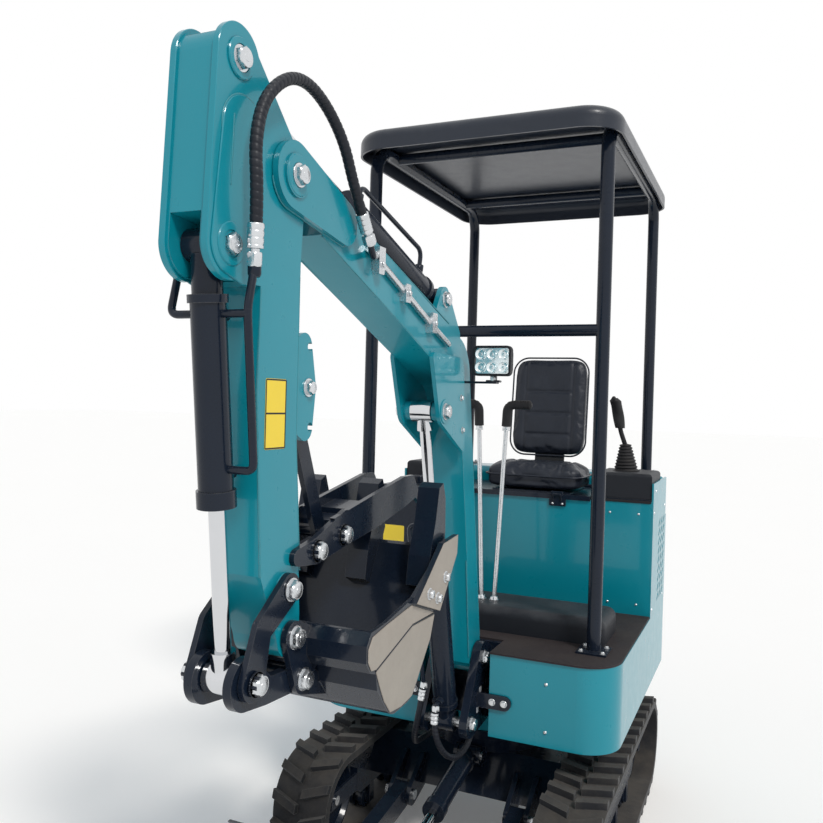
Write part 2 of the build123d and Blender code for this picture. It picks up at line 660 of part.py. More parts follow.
def arm():
    """The arm: a box beam with two cheeks at its head and a bored tip."""
    head = web(disc(ARM_CYL_EYE, 52), disc(BUCKET_CYL_BASE, 54), disc(ARM_PIVOT, 52), disc((-1430, 1660), 56))
    beam = yz(
        (-1500, 1700),
        (-1374, 1700),
        (-1372, 1338),
        (-1346, 1010),
        (-1346, 973),
        (-1421, 973),
        (-1479, 1100),
        (-1503, 1420),
    )
    tip = web(disc(BUCKET_PIVOT, TIP_R), disc((-1400, 1060), 46))
    body = slab(head + beam + tip, -ARM_HALF, ARM_HALF)
    groove = EYE_HALF + 1.5
    drift = [disc(point, 38) for point in ((-1556, 1926), (-1531, 1912), (-1518, 1922))]
    rod_way = web(disc(ARM_CYL_EYE, 42), *drift, disc((-1290, 1883), 34))
    lift_way = web(disc(ARM_CYL_EYE, 42), *drift, disc((ARM_CYL_EYE[0], 2080), 40))
    side_way = web(disc((-1290, 1950), 60), disc(ARM_CYL_EYE, 40))
    body -= slab(rod_way + lift_way + side_way, -groove, groove)
    low = web(disc(BUCKET_CYL_BASE, 40), disc((-1720, 1662), 50), disc((-1616, 1480), 60))
    body -= slab(low, -groove, groove)
    bracket_face = web(disc((-1344, 1514), 26), disc(STRUT_PIN, 30), disc((-1336, 1360), 26), disc((-1400, 1436), 60))
    body += pair(slab(bracket_face, ARM_HALF - 14, ARM_HALF - 4))
    for point in (BRACKET_HOLE, STRUT_PIN, (-1318, 1360)):
        body -= rod_x(point, BRACKET_HOLE_R, -60, 60)
    for point in (ARM_PIVOT, BUCKET_PIVOT):
        body -= rod_x(point, PIN_R + FIT, -60, 60)
    for point in (ARM_CYL_EYE, BUCKET_CYL_BASE, ROCKER_PIVOT):
        body -= rod_x(point, PIN_R, -60, 60)
    lens = web(disc((-1524, 1850), 8), disc((-1500, 1812), 12), disc((-1518, 1775), 8))
    return body - slab(lens, -60, 60)


def arm_pins():
    """The arm's own pins: both cylinder pins, the rocker pivot and the thumb bolts."""
    body = stub_pins(ARM_CYL_EYE, PIN_R, EYE_HALF + 1, ARM_HALF)
    body += bolt_pin(BUCKET_CYL_BASE, PIN_R, ARM_HALF)
    body += bolt_pin(ROCKER_PIVOT, PIN_R, EAR_IN + EAR_PLATE + 1)
    return body + bolt_pin(STRUT_PIN, BRACKET_HOLE_R, ARM_HALF - 4)


def rockers():
    """Two curved links from the arm to the rod's pin, which they carry."""
    middle = (-1484, 1010)
    bar = web(disc(ROCKER_PIVOT, 30), disc(middle, 24)) + web(disc(middle, 24), disc(LINK_PIN, 32))
    plate = slab(bar, EAR_IN + 0.6, EAR_IN + EAR_PLATE)
    body = pair(plate - rod_x(ROCKER_PIVOT, PIN_R + FIT, 40, 80))
    return body + stub_pins(LINK_PIN, PIN_R, EYE_HALF + 2, EAR_IN + EAR_PLATE + 4)


def h_link():
    """The link from the rod's pin to the bucket's ears: two plates joined by a web."""
    inner = EYE_HALF + 3
    lobe = web(disc((-1512, 922), 46), disc((-1450, 892), 24)) + web(disc((-1450, 892), 24), disc(EAR_PIN, 24))
    body = pair(slab(lobe, inner, EAR_IN - 1.2) - rod_x(LINK_PIN, PIN_R + FIT, 20, 80))
    body += slab(web(disc((-1415, 890), 15), disc((-1392, 888), 15)), -inner, inner)
    return body + rod_x(EAR_PIN, 24, -inner, inner)


def lip_point(down, in_):
    """A point on the lip plate: so far down from the lip and so far in from its outer face."""
    run = length(LIP, HEEL)
    dy, dz = (HEEL[0] - LIP[0]) / run, (HEEL[1] - LIP[1]) / run
    return (LIP[0] + down * dy + in_ * dz, LIP[1] + down * dz - in_ * dy)


def bucket():
    """A two-lobed bucket with flat sides, a box back with ears and a bevelled lip."""
    wall = BUCKET_WALL
    outer = yz(
        LIP,
        HEEL,
        (-1120, 800),
        (-1230, 796),
        (-1290, 866),
        (-1298, 900),
        (-1322, 908),
        (-1339, 930),
        (-1339, 962),
        (-1322, 984),
        (-1260, 988),
        (-1129, 1010),
        (-1050, 1050),
    )
    for corner, r in (((-1120, 800), 70), ((-1230, 796), 56)):
        outer = fillet(outer.vertices().sort_by_distance((*corner, 0))[0], r)
    inner = offset(outer, -wall)
    mouth = yz(
        (-1314, 972),
        (-1314, 1150),
        (-956, 1150),
        lip_point(0, wall),
        lip_point(150, wall),
        (-1100, 900),
        (-1260, 940),
    )
    width = BUCKET_HALF - wall
    body = slab(outer, -BUCKET_HALF, BUCKET_HALF) - slab(inner + mouth, -width, width)
    ears = web(disc(BUCKET_PIVOT, 30), disc(EAR_PIN, 29)) + web(disc(EAR_PIN, 29), disc((-1250, 840), 12))
    ears += web(disc(BUCKET_PIVOT, 30), disc((-1300, 940), 30), disc(EAR_PIN, 20))
    body += pair(slab(ears - inner, EAR_IN, EAR_IN + EAR_PLATE))
    for point in (BUCKET_PIVOT, EAR_PIN):
        body -= rod_x(point, PIN_R, -90, 90)
    return body


def bucket_pins():
    body = bolt_pin(BUCKET_PIVOT, PIN_R, EAR_IN + EAR_PLATE)
    return body + stub_pins(EAR_PIN, PIN_R, EYE_HALF + 24, EAR_IN + EAR_PLATE)


def bucket_teeth():
    """Three bolted teeth on the lip's inner face and a cutter plate on each side."""
    seat = BUCKET_WALL + 0.1
    tooth = yz(
        lip_point(-1, seat),
        lip_point(108, seat),
        lip_point(108, seat + 26),
        (-1020, 1075),
        (-992, 1150),
        (-975, 1222),
        (-952, 1232),
        (-937, 1196),
        lip_point(-32, -2),
        lip_point(-1, -2),
    )
    one = slab(tooth, -26, 26)
    teeth = one + pair(Pos(TOOTH_PITCH, 0, 0) * one)
    cutter = yz((-1141, 1000), (-1012, 958), (-915, 1069), (-912, 1112), (-1000, 1104))
    return teeth + pair(slab(cutter, BUCKET_HALF + 0.1, BUCKET_HALF + 12))


def thumb():
    """Two curved tines on the arm's back, joined by a stepped cross plate."""
    tine = web(disc(THUMB_PIN, 26), disc(THUMB_BOLT, 26), disc((-1190, 1172), 16))
    reach = yz(
        (-1240, 1176),
        (-903, 1236),
        (-850, 1236),
        (-776, 1144),
        (-835, 1180),
        (-887, 1166),
        (-1051, 1132),
        (-1200, 1112),
    )
    inner = ARM_HALF + 0.5
    plate = slab(tine + reach, inner, inner + 11)
    step = yz(
        (-1160, 1146),
        (-1100, 1156),
        (-1100, 1168),
        (-1046, 1177),
        (-1046, 1189),
        (-1112, 1178),
        (-1112, 1166),
        (-1160, 1158),
    )
    root = web(disc(THUMB_PIN, 26), disc((-1372, 1118), 16))
    body = pair(plate + slab(root, inner, inner + 11)) + slab(step, -inner, inner)
    for point in (THUMB_PIN, THUMB_BOLT):
        body += bolt_pin(point, 10, inner + 11)
    return body


def thumb_strut():
    """A flat bar from the arm's bracket down to the thumb."""
    bar = web(disc(STRUT_PIN, 20), disc(THUMB_BOLT, 20))
    bar -= disc(STRUT_PIN, BRACKET_HOLE_R)
    bar -= disc(THUMB_BOLT, 10)
    return slab(bar, -6, 6)


def lamp():
    """The work lamp on its bent bracket beside the knee."""
    body = Pos(140, -496, 1534) * Box(112, 44, 84)
    body = fillet(body.edges().filter_by(Axis.Y), 14)
    foot = box(BOOM_HALF, 152, -505, -490, 1474, 1480)
    stem = box(128, 152, -505, -490, 1474, 1494)
    return body + foot + stem


def hose(points, r, name):
    """A limp hose as straight runs joined by tangent arcs; its radii are printed."""
    radii = []
    for a, b, c in zip(points, points[1:], points[2:]):
        u, v = Vector(*b) - Vector(*a), Vector(*c) - Vector(*b)
        turn = radians(u.get_angle(v))
        radii.append(0.45 * min(u.length, v.length) / max(1e-6, sin(turn / 2) / cos(turn / 2)))
    path = FilletPolyline(*points, radius=radii)
    tube = sweep(Plane(origin=path @ 0, z_dir=path % 0) * Circle(r), path)
    print(name, "length", round(path.length, 1), "radii", [round(x) for x in radii])
    print(name, "volume ratio", round(tube.volume / (pi * r * r * path.length), 4))
    return tube


HOSE_X = 82.0
HOSE_BOW = 5.0
HOSE_R = 11.0
UNION_R = 14.0
ARM_HOSE = [
    (-1568, 1690),
    (-1574, 1750),
    (-1577, 1830),
    (-1556, 1905),
    (-1500, 1960),
    (-1425, 1982),
    (-1350, 1962),
    (-1290, 1910),
    (-1240, 1845),
    (-1196, 1788),
]


def hose_points(side):
    points = []
    for i, (y, z) in enumerate(ARM_HOSE):
        points.append((side * (HOSE_X + (HOSE_BOW if i % 3 == 1 else 0)), y, z))
    return points


def arm_hose(side, name):
    """One hose over the arm's head, from the union on the arm to the union by the boom."""
    return hose(hose_points(side), HOSE_R, name)


def crimp(end, near, long):
    """A crimped hose end that carries on past the hose's end, away from its next point."""
    out = Vector(*end) - Vector(*near)
    return Plane(origin=end, z_dir=out) * Pos(0, 0, long / 2) * Cylinder(UNION_R, long)


def arm_unions():
    """The crimped ends of both hoses and the blocks that hold them on the arm's cheeks."""
    out = []
    for side in (1, -1):
        points = hose_points(side)
        y, z = ARM_HOSE[0]
        low = crimp(points[0], points[1], 66)
        block = box(ARM_HALF, HOSE_X, y - 12, y + 12, z - 76, z - 56)
        out.append(low + (block if side > 0 else mirror(block, about=Plane.YZ)))
        out.append(crimp(points[-1], points[-2], 30))
    return out[0] + out[1:]


def boom_tubes():
    """Steel tubes along the boom's sides, held by two clamp blocks."""
    path = FilletPolyline((58, -1120, 1740), (58, -760, 1610), (58, -640, 1570), radius=60)
    tube = sweep(Plane(origin=path @ 0, z_dir=path % 0) * Circle(8), path)
    clamps = box(BOOM_HALF, 70, -1090, -1060, 1700, 1750) + box(BOOM_HALF, 70, -780, -750, 1590, 1640)
    return pair(tube + clamps)


def write_nodes():
    shift = Pos(0, SLEW_Y, 0)
    for name, shape in nodes.items():
        export_step(shift * shape, f"parts/{name}.step")


nodes["track_frame"] = track_frame()
nodes["frame_pins"] = frame_pins()
nodes["slew_ring"] = slew_ring()
nodes["track_left"] = track(1)
nodes["track_right"] = track(-1)
nodes["idler_wheels"] = idlers()
nodes["drive_sprockets"] = sprockets()
nodes["travel_motors"] = travel_motors()
nodes["track_rollers"] = rollers()
nodes["dozer_blade"] = blade()
nodes["blade_cylinder_barrel"] = cylinder_barrel(BLADE_CYL_BASE, BLADE_CYL_EYE, BLADE_BARREL, 30, 14, 26, 40)
nodes["blade_cylinder_rod"] = cylinder_rod(BLADE_CYL_BASE, BLADE_CYL_EYE, BLADE_BARREL, 30, 14, 26, 180)
nodes["deck"] = deck()
nodes["boom_bracket"] = bracket()
nodes["bracket_pins"] = bracket_pins()
nodes["floor_mat"] = floor_mat()
nodes["lever_box"] = lever_box()
nodes["side_tank"] = side_tank()
nodes["front_panel"] = front_panel()
nodes["side_panels"] = side_panels()
nodes["counterweight"] = counterweight()
nodes["engine"] = engine()
nodes["top_cover"] = top_cover()
nodes["consoles"] = consoles()
nodes["joystick_left"] = joystick(364, -8)
nodes["joystick_right"] = joystick(-364, 8)
nodes["travel_levers"] = travel_levers()
nodes["canopy_frame"] = canopy_frame()
nodes["canopy_roof"] = canopy_roof()
nodes["seat_lid"] = seat_lid()
nodes["seat_frame"] = seat_frame()
nodes["seat_cushion"] = seat_cushion()
nodes["seat_back"] = seat_back()
nodes["boom"] = boom()
nodes["boom_pins"] = boom_pins()
nodes["boom_tubes"] = boom_tubes()
nodes["work_lamp"] = lamp()
nodes["lift_cylinder_barrel"] = cylinder_barrel(LIFT_BASE, LIFT_EYE, LIFT_BARREL, 34, 15, 30, 50)
nodes["lift_cylinder_rod"] = cylinder_rod(LIFT_BASE, LIFT_EYE, LIFT_BARREL, 34, 15, 30, 330)
nodes["arm_cylinder_barrel"] = cylinder_barrel(ARM_CYL_BASE, ARM_CYL_EYE, ARM_BARREL, 32, 15, 30, 64, -1)
nodes["arm_cylinder_rod"] = cylinder_rod(ARM_CYL_BASE, ARM_CYL_EYE, ARM_BARREL, 32, 15, 30, 60)
nodes["arm"] = arm()
nodes["arm_pins"] = arm_pins()
nodes["arm_unions"] = arm_unions()
nodes["thumb"] = thumb()
nodes["thumb_strut"] = thumb_strut()
nodes["hose_left"] = arm_hose(1, "hose_left")
nodes["hose_right"] = arm_hose(-1, "hose_right")
nodes["rocker_links"] = rockers()
nodes["h_link"] = h_link()
nodes["bucket_cylinder_barrel"] = cylinder_barrel(BUCKET_CYL_BASE, LINK_PIN, BUCKET_BARREL, 30, 15, 28, 80)
nodes["bucket_cylinder_rod"] = cylinder_rod(BUCKET_CYL_BASE, LINK_PIN, BUCKET_BARREL, 30, 15, 28, 60)
nodes["bucket"] = bucket()
nodes["bucket_pins"] = bucket_pins()
nodes["bucket_teeth"] = bucket_teeth()
write_nodes()
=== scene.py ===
"""The mini excavator's looks: paint, rubber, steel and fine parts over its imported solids.

Lengths are in millimetres in the machine's own axes (slew centre at 0, 0, ground at 0), and
row() turns them into the frame's metres. Outlines across the machine are (y, z) points.
"""

import math

import bmesh
import bpy
import numpy as np
from mathutils import Matrix, Vector


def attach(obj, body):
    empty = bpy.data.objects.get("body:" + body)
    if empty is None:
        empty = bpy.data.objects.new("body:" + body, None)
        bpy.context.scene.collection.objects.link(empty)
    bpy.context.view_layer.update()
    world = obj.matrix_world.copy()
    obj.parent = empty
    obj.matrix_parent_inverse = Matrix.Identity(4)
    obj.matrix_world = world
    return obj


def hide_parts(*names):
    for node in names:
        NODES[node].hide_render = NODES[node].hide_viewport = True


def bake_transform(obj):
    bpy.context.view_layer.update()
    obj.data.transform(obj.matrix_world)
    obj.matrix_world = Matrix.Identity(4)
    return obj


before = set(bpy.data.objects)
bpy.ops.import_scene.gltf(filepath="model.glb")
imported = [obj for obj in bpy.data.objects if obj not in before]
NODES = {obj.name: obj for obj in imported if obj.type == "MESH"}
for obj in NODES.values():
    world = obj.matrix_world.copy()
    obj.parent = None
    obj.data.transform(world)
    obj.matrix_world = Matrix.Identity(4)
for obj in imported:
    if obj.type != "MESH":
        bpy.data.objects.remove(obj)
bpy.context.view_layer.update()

SLEW_Y = 402.5
FOOT, LIFT_BASE, LIFT_EYE = (-323.0, 648.0), (-425.0, 481.0), (-659.0, 1391.0)
ARM_PIVOT, ARM_CYL_BASE, ARM_CYL_EYE = (-1416.0, 1817.0), (-637.0, 1691.0), (-1576.0, 1967.0)
BUCKET_CYL_BASE, LINK_PIN, EAR_PIN = (-1591.0, 1662.0), (-1510.0, 925.0), (-1348.0, 886.0)
ROCKER_PIVOT, BUCKET_PIVOT, STRUT_PIN = (-1400.0, 1065.0), (-1382.0, 973.0), (-1330.0, 1436.0)
THUMB_PIN, THUMB_BOLT = (-1304.0, 1121.0), (-1200.0, 1138.0)
LIP, HEEL = (-950.0, 1090.0), (-1060.0, 884.0)
X, Y, Z = (1, 0, 0), (0, 1, 0), (0, 0, 1)


def row(points):
    """Machine millimetres to the frame's metres: a thousandth of each, moved along Y."""
    return (np.asarray(points, float) + np.array([0.0, SLEW_Y, 0.0])) * 0.001


def unit(vectors):
    """Each vector divided by its own length."""
    vectors = np.asarray(vectors, float)
    return vectors / np.linalg.norm(vectors, axis=-1, keepdims=True)


def basis(axis):
    """Three square unit vectors u, v, w, of which w runs along the axis."""
    w = unit(axis)
    u = unit(np.cross(Z if abs(w[2]) < 0.9 else X, w))
    return u, np.cross(w, u), w


# The camera, at the photograph's place and angle.
YAW, PITCH, ROLL = map(math.radians, (23.97, -0.43, 1.60))


def look():
    """The camera's axes: level directions from the yaw, tipped by the pitch, then rolled."""
    level = np.array([-math.sin(YAW), math.cos(YAW), 0.0])
    right = np.array([math.cos(YAW), math.sin(YAW), 0.0])
    ahead = level * math.cos(PITCH) + np.array(Z) * math.sin(PITCH)
    up = np.array(Z) * math.cos(PITCH) - level * math.sin(PITCH)
    across = right * math.cos(ROLL) + up * math.sin(ROLL)
    above = up * math.cos(ROLL) - right * math.sin(ROLL)
    lens = bpy.data.cameras.new("camera")
    lens.sensor_width, lens.lens, lens.shift_y = 36.0, 35.904, -0.0046
    lens.clip_end = 200.0
    camera = bpy.data.objects.new("camera", lens)
    turn = Matrix(np.column_stack([across, above, -ahead]).tolist()).to_4x4()
    camera.matrix_world = Matrix.Translation((0.864, -2.2815, 1.415)) @ turn
    bpy.context.scene.collection.objects.link(camera)
    bpy.context.scene.camera = camera


look()


# Shader tools: a node with its inputs filled or joined, a sum, and a group with named sockets.
def node(tree, kind, inputs=None, **settings):
    """A shader node whose named inputs are joined to a socket or set to a value."""
    new = tree.nodes.new("ShaderNode" + kind)
    for key, value in settings.items():
        setattr(new, key, value)
    for key, value in (inputs or {}).items():
        if isinstance(value, bpy.types.NodeSocket):
            tree.links.new(value, new.inputs[key])
        else:
            new.inputs[key].default_value = value
    return new


def calc(tree, operation, *values, clamp=False):
    """The result of one sum."""
    new = tree.nodes.new("ShaderNodeMath")
    new.operation, new.use_clamp = operation, clamp
    for socket, value in zip(new.inputs, values):
        if isinstance(value, bpy.types.NodeSocket):
            tree.links.new(value, socket)
        else:
            socket.default_value = value
    return new.outputs[0]


def group(name, inputs, output):
    """An empty group with number sockets: its tree, what it is given and where it puts its result."""
    tree = bpy.data.node_groups.new(name, "ShaderNodeTree")
    for label, value in inputs.items():
        socket = tree.interface.new_socket(label, in_out="INPUT", socket_type="NodeSocketFloat")
        socket.default_value = value
    tree.interface.new_socket(output, in_out="OUTPUT", socket_type="NodeSocketFloat")
    return tree, tree.nodes.new("NodeGroupInput").outputs, tree.nodes.new("NodeGroupOutput").inputs[0]


def noise(tree, scale, detail=4.0, rough=0.55):
    """Noise on the piece's own coordinates."""
    where = node(tree, "TexCoord").outputs["Object"]
    inputs = {"Vector": where, "Scale": scale, "Detail": detail, "Roughness": rough}
    return node(tree, "TexNoise", inputs).outputs[0]


def make_edge_wear():
    """Wear where the surface turns: one less the product of the rounded and the true normal, times noise."""
    tree, given, out = group("edge_wear", {"Width": 0.003, "Amount": 1.0, "Scale": 40.0}, "Mask")
    soft = node(tree, "Bevel", {"Radius": given["Width"]}, samples=6).outputs[0]
    true = node(tree, "NewGeometry").outputs["Normal"]
    product = node(tree, "VectorMath", {0: soft, 1: true}, operation="DOT_PRODUCT").outputs["Value"]
    turn = calc(tree, "SUBTRACT", 1.0, product, clamp=True)
    broken = calc(tree, "POWER", noise(tree, given["Scale"], 8.0, 0.7), 2.5)
    worn = calc(tree, "MULTIPLY", calc(tree, "MULTIPLY", turn, broken), given["Amount"])
    tree.links.new(calc(tree, "MULTIPLY", worn, 14.0, clamp=True), out)
    return tree


def make_dust():
    """Dust on what faces up and in patches: the normal's rise, raised by noise and cut at nothing."""
    tree, given, out = group("dust", {"Amount": 0.4, "Scale": 9.0, "Level": 0.35}, "Mask")
    rise = node(tree, "SeparateXYZ", {0: node(tree, "NewGeometry").outputs["Normal"]}).outputs["Z"]
    patch = calc(tree, "MULTIPLY", noise(tree, given["Scale"], 6.0, 0.65), 1.3)
    lying = calc(tree, "ADD", calc(tree, "MULTIPLY", rise, 0.45), patch)
    settled = calc(tree, "SUBTRACT", lying, calc(tree, "SUBTRACT", 1.0, given["Level"]), clamp=True)
    tree.links.new(calc(tree, "MULTIPLY", settled, given["Amount"], clamp=True), out)
    return tree


def make_grain():
    """A fine surface height: two sizes of noise added together."""
    tree, given, out = group("grain", {"Scale": 300.0, "Coarse": 40.0, "Share": 0.5}, "Height")
    fine = noise(tree, given["Scale"], 2.0)
    coarse = calc(tree, "MULTIPLY", noise(tree, given["Coarse"], 3.0), given["Share"])
    tree.links.new(calc(tree, "ADD", fine, coarse), out)
    return tree


def make_pebble():
    """Pebbled hide or moulded rubber: the distance to the border of scattered cells."""
    tree, given, out = group("pebble", {"Scale": 400.0, "Sharp": 3.0}, "Height")
    where = node(tree, "TexCoord").outputs["Object"]
    cells = node(tree, "TexVoronoi", {"Vector": where, "Scale": given["Scale"]}, feature="DISTANCE_TO_EDGE")
    tree.links.new(calc(tree, "MULTIPLY", cells.outputs["Distance"], given["Sharp"], clamp=True), out)
    return tree


EDGE_WEAR, DUST, GRAIN, PEBBLE = make_edge_wear(), make_dust(), make_grain(), make_pebble()


def placed(tree, which, **values):
    """One of the groups above placed in a material with its own values."""
    new = tree.nodes.new("ShaderNodeGroup")
    new.node_tree = which
    for key, value in values.items():
        new.inputs[key].default_value = value
    return new.outputs[0]


def mixed(tree, mask, first, second):
    return node(tree, "Mix", {0: mask, 6: first, 7: second}, data_type="RGBA").outputs[2]


def finish(name, colour, rough, metal=0.0, coat=0.0, coat_rough=0.1, shade=0.12, spread=0.08, spots=6.0,
           wear=None, dust=None, relief=None, sheen=0.0, mirror=0.5):
    """A material: colour varied by slow noise, edge wear and dust over it, and relief from a group.

    wear is (width, amount, scale, colour, metallic); dust is (amount, scale, level, colour);
    relief is (group, strength, distance, values); mirror is how strongly the bare surface mirrors.
    """
    material = bpy.data.materials.new(name)
    material.use_nodes = True
    tree = material.node_tree
    shader = tree.nodes["Principled BSDF"]
    slow = noise(tree, spots, 5.0, 0.6)
    dark = tuple(c * (1 - shade) for c in colour) + (1,)
    light = tuple(min(1, c * (1 + shade)) for c in colour) + (1,)
    paint = mixed(tree, slow, dark, light)
    varied = calc(tree, "MULTIPLY", noise(tree, spots * 7, 5.0, 0.6), spread * 2)
    gloss = calc(tree, "ADD", varied, rough - spread)
    if dust:
        mask = placed(tree, DUST, Amount=dust[0], Scale=dust[1], Level=dust[2])
        paint = mixed(tree, mask, paint, dust[3] + (1,))
        gloss = calc(tree, "ADD", gloss, calc(tree, "MULTIPLY", mask, 0.5), clamp=True)
    if wear:
        mask = placed(tree, EDGE_WEAR, Width=wear[0], Amount=wear[1], Scale=wear[2])
        paint = mixed(tree, mask, paint, wear[3] + (1,))
        if wear[4]:
            tree.links.new(calc(tree, "MULTIPLY", mask, wear[4]), shader.inputs["Metallic"])
    if not (wear and wear[4]):
        shader.inputs["Metallic"].default_value = metal
    if relief:
        height = placed(tree, relief[0], **relief[3])
        bump = node(tree, "Bump", {"Height": height, "Strength": relief[1], "Distance": relief[2]})
        tree.links.new(bump.outputs[0], shader.inputs["Normal"])
    tree.links.new(paint, shader.inputs["Base Color"])
    tree.links.new(gloss, shader.inputs["Roughness"])
    shader.inputs["Coat Weight"].default_value = coat
    shader.inputs["Coat Roughness"].default_value = coat_rough
    shader.inputs["Sheen Weight"].default_value = sheen
    shader.inputs["Specular IOR Level"].default_value = mirror
    return material


SOIL = (0.16, 0.135, 0.105)
PALE_DUST = (0.30, 0.31, 0.31)
TEAL = finish("teal_gloss", (0.002, 0.235, 0.300), 0.30, coat=0.45, coat_rough=0.07, shade=0.10, spots=3.0,
              mirror=0.25,
              wear=(0.0025, 0.5, 60.0, (0.008, 0.10, 0.13), 0.0), dust=(0.04, 7.0, 0.25, PALE_DUST),
              relief=(GRAIN, 0.10, 0.0006, {"Scale": 260.0, "Coarse": 18.0, "Share": 1.6}))
BLACK = finish("black_satin", (0.006, 0.011, 0.022), 0.28, coat=0.35, coat_rough=0.09, shade=0.25, spots=5.0,
               mirror=0.12,
               wear=(0.002, 0.8, 70.0, (0.10, 0.10, 0.105), 0.5), dust=(0.05, 8.0, 0.25, PALE_DUST),
               relief=(GRAIN, 0.12, 0.0006, {"Scale": 320.0, "Coarse": 24.0, "Share": 1.2}))
ZINC = finish("bright_zinc", (0.66, 0.68, 0.70), 0.27, metal=1.0, shade=0.14, spread=0.12, spots=40.0,
              dust=(0.35, 60.0, 0.2, (0.33, 0.31, 0.27)),
              relief=(GRAIN, 0.25, 0.0003, {"Scale": 700.0, "Coarse": 120.0, "Share": 0.6}))
CHROME = finish("polished_rod", (0.66, 0.67, 0.69), 0.09, metal=1.0, shade=0.04, spread=0.05, spots=20.0,
                relief=(GRAIN, 0.03, 0.0002, {"Scale": 500.0, "Coarse": 30.0, "Share": 0.4}))
TREAD = finish("track_rubber", (0.018, 0.019, 0.022), 0.72, mirror=0.25, shade=0.3, spread=0.12, spots=9.0,
               sheen=0.1,
               wear=(0.006, 0.9, 45.0, (0.085, 0.08, 0.075), 0.0), dust=(0.55, 14.0, 0.42, SOIL),
               relief=(GRAIN, 0.5, 0.0012, {"Scale": 240.0, "Coarse": 45.0, "Share": 1.5}))
MAT = finish("floor_rubber", (0.022, 0.017, 0.020), 0.66, mirror=0.25, shade=0.25, spread=0.1, spots=7.0,
             wear=(0.004, 0.5, 60.0, (0.07, 0.055, 0.05), 0.0), dust=(0.22, 10.0, 0.3, SOIL),
             relief=(PEBBLE, 0.5, 0.0008, {"Scale": 330.0, "Sharp": 4.0}))
ROOF = finish("roof_moulding", (0.016, 0.021, 0.032), 0.34, coat=0.25, coat_rough=0.2, mirror=0.25,
              shade=0.2, spots=3.0,
              dust=(0.16, 5.0, 0.25, PALE_DUST),
              relief=(PEBBLE, 0.22, 0.0005, {"Scale": 520.0, "Sharp": 3.0}))
MOULDED = finish("box_moulding", (0.014, 0.016, 0.021), 0.48, mirror=0.25, shade=0.2, spots=8.0,
                 dust=(0.18, 12.0, 0.25, PALE_DUST),
                 relief=(PEBBLE, 0.3, 0.0004, {"Scale": 700.0, "Sharp": 3.0}))
VINYL = finish("seat_vinyl", (0.016, 0.020, 0.030), 0.40, coat=0.15, coat_rough=0.3, mirror=0.25, shade=0.22,
               spots=12.0,
               dust=(0.10, 16.0, 0.2, PALE_DUST),
               relief=(PEBBLE, 0.35, 0.0006, {"Scale": 360.0, "Sharp": 3.5}))
GRIP = finish("grip_rubber", (0.014, 0.014, 0.016), 0.5, mirror=0.25, shade=0.2, spots=18.0,
              dust=(0.2, 25.0, 0.25, SOIL), relief=(PEBBLE, 0.4, 0.0005, {"Scale": 650.0, "Sharp": 4.0}))
IRON = finish("engine_iron", (0.055, 0.056, 0.058), 0.6, metal=0.4, shade=0.3, spots=14.0,
              dust=(0.3, 12.0, 0.3, SOIL),
              relief=(GRAIN, 0.6, 0.001, {"Scale": 200.0, "Coarse": 50.0, "Share": 1.0}))
HOSE = finish("hose_rubber", (0.012, 0.014, 0.020), 0.42, mirror=0.25, shade=0.25, spots=25.0,
              dust=(0.16, 20.0, 0.25, PALE_DUST),
              relief=(GRAIN, 0.2, 0.0004, {"Scale": 600.0, "Coarse": 90.0, "Share": 0.8}))
LAMP = finish("lamp_casting", (0.012, 0.013, 0.016), 0.45, mirror=0.25, shade=0.2, spots=20.0,
              dust=(0.1, 20.0, 0.2, PALE_DUST), relief=(PEBBLE, 0.3, 0.0004, {"Scale": 800.0, "Sharp": 3.0}))
# Tan plate colour: partly worn steel, partly painted glare of the light on the bucket's sides; the edge wear
# and dust over it are real.
GLARE_AND_WEAR = finish("glare_and_wear_plate", (0.37, 0.33, 0.285), 0.46, metal=0.5, shade=0.14, spread=0.1, spots=12.0,
                wear=(0.003, 0.6, 60.0, (0.10, 0.085, 0.07), 0.0), dust=(0.35, 18.0, 0.3, (0.20, 0.16, 0.12)),
                relief=(GRAIN, 0.35, 0.0005, {"Scale": 420.0, "Coarse": 60.0, "Share": 1.4}))
YELLOW = finish("yellow_plate", (0.83, 0.60, 0.012), 0.35, coat=0.3, shade=0.05, spots=30.0,
                dust=(0.15, 40.0, 0.2, SOIL))
GREY = finish("grey_plate", (0.42, 0.44, 0.46), 0.38, coat=0.2, shade=0.08, spots=40.0,
              dust=(0.2, 40.0, 0.2, SOIL))
LENS = finish("lamp_reflector", (0.78, 0.86, 0.88), 0.12, metal=0.85, shade=0.06, spots=60.0)
BEAD = finish("weld_seam", (0.0035, 0.20, 0.245), 0.42, coat=0.4, shade=0.2, spots=60.0,
              wear=(0.0015, 0.6, 90.0, (0.02, 0.06, 0.07), 0.0), dust=(0.2, 40.0, 0.3, PALE_DUST),
              relief=(GRAIN, 0.5, 0.0006, {"Scale": 500.0, "Coarse": 150.0, "Share": 1.0}))
SLOTS = {"teal_paint": TEAL, "black_paint": BLACK, "steel_pin": ZINC, "chrome_rod": CHROME,
         "track_rubber": TREAD,
         "mat_rubber": MAT, "roof_plastic": ROOF, "box_plastic": MOULDED, "seat_vinyl": VINYL,
         "grip_plastic": GRIP, "engine_iron": IRON, "hose_rubber": HOSE, "lamp_housing": LAMP}
for solid in NODES.values():
    for place in solid.material_slots:
        place.material = SLOTS[place.material.name.split(".")[0]]


# Surfaces on a grid.
def grid(points, ring=True, ends=True, loop=False):
    """Quads between neighbouring rows of points[row, around]; ends are closed by one face each."""
    rows, around, _ = points.shape
    i = np.arange(rows if loop else rows - 1)[:, None]
    j = np.arange(around if ring else around - 1)[None, :]
    after, beside = (i + 1) % rows, (j + 1) % around
    quads = np.stack([i * around + j, i * around + beside, after * around + beside, after * around + j], -1)
    faces = quads.reshape(-1, 4).tolist()
    if ends and not loop:
        faces += [list(range(around))[::-1], list(range((rows - 1) * around, rows * around))]
    return points.reshape(-1, 3), faces


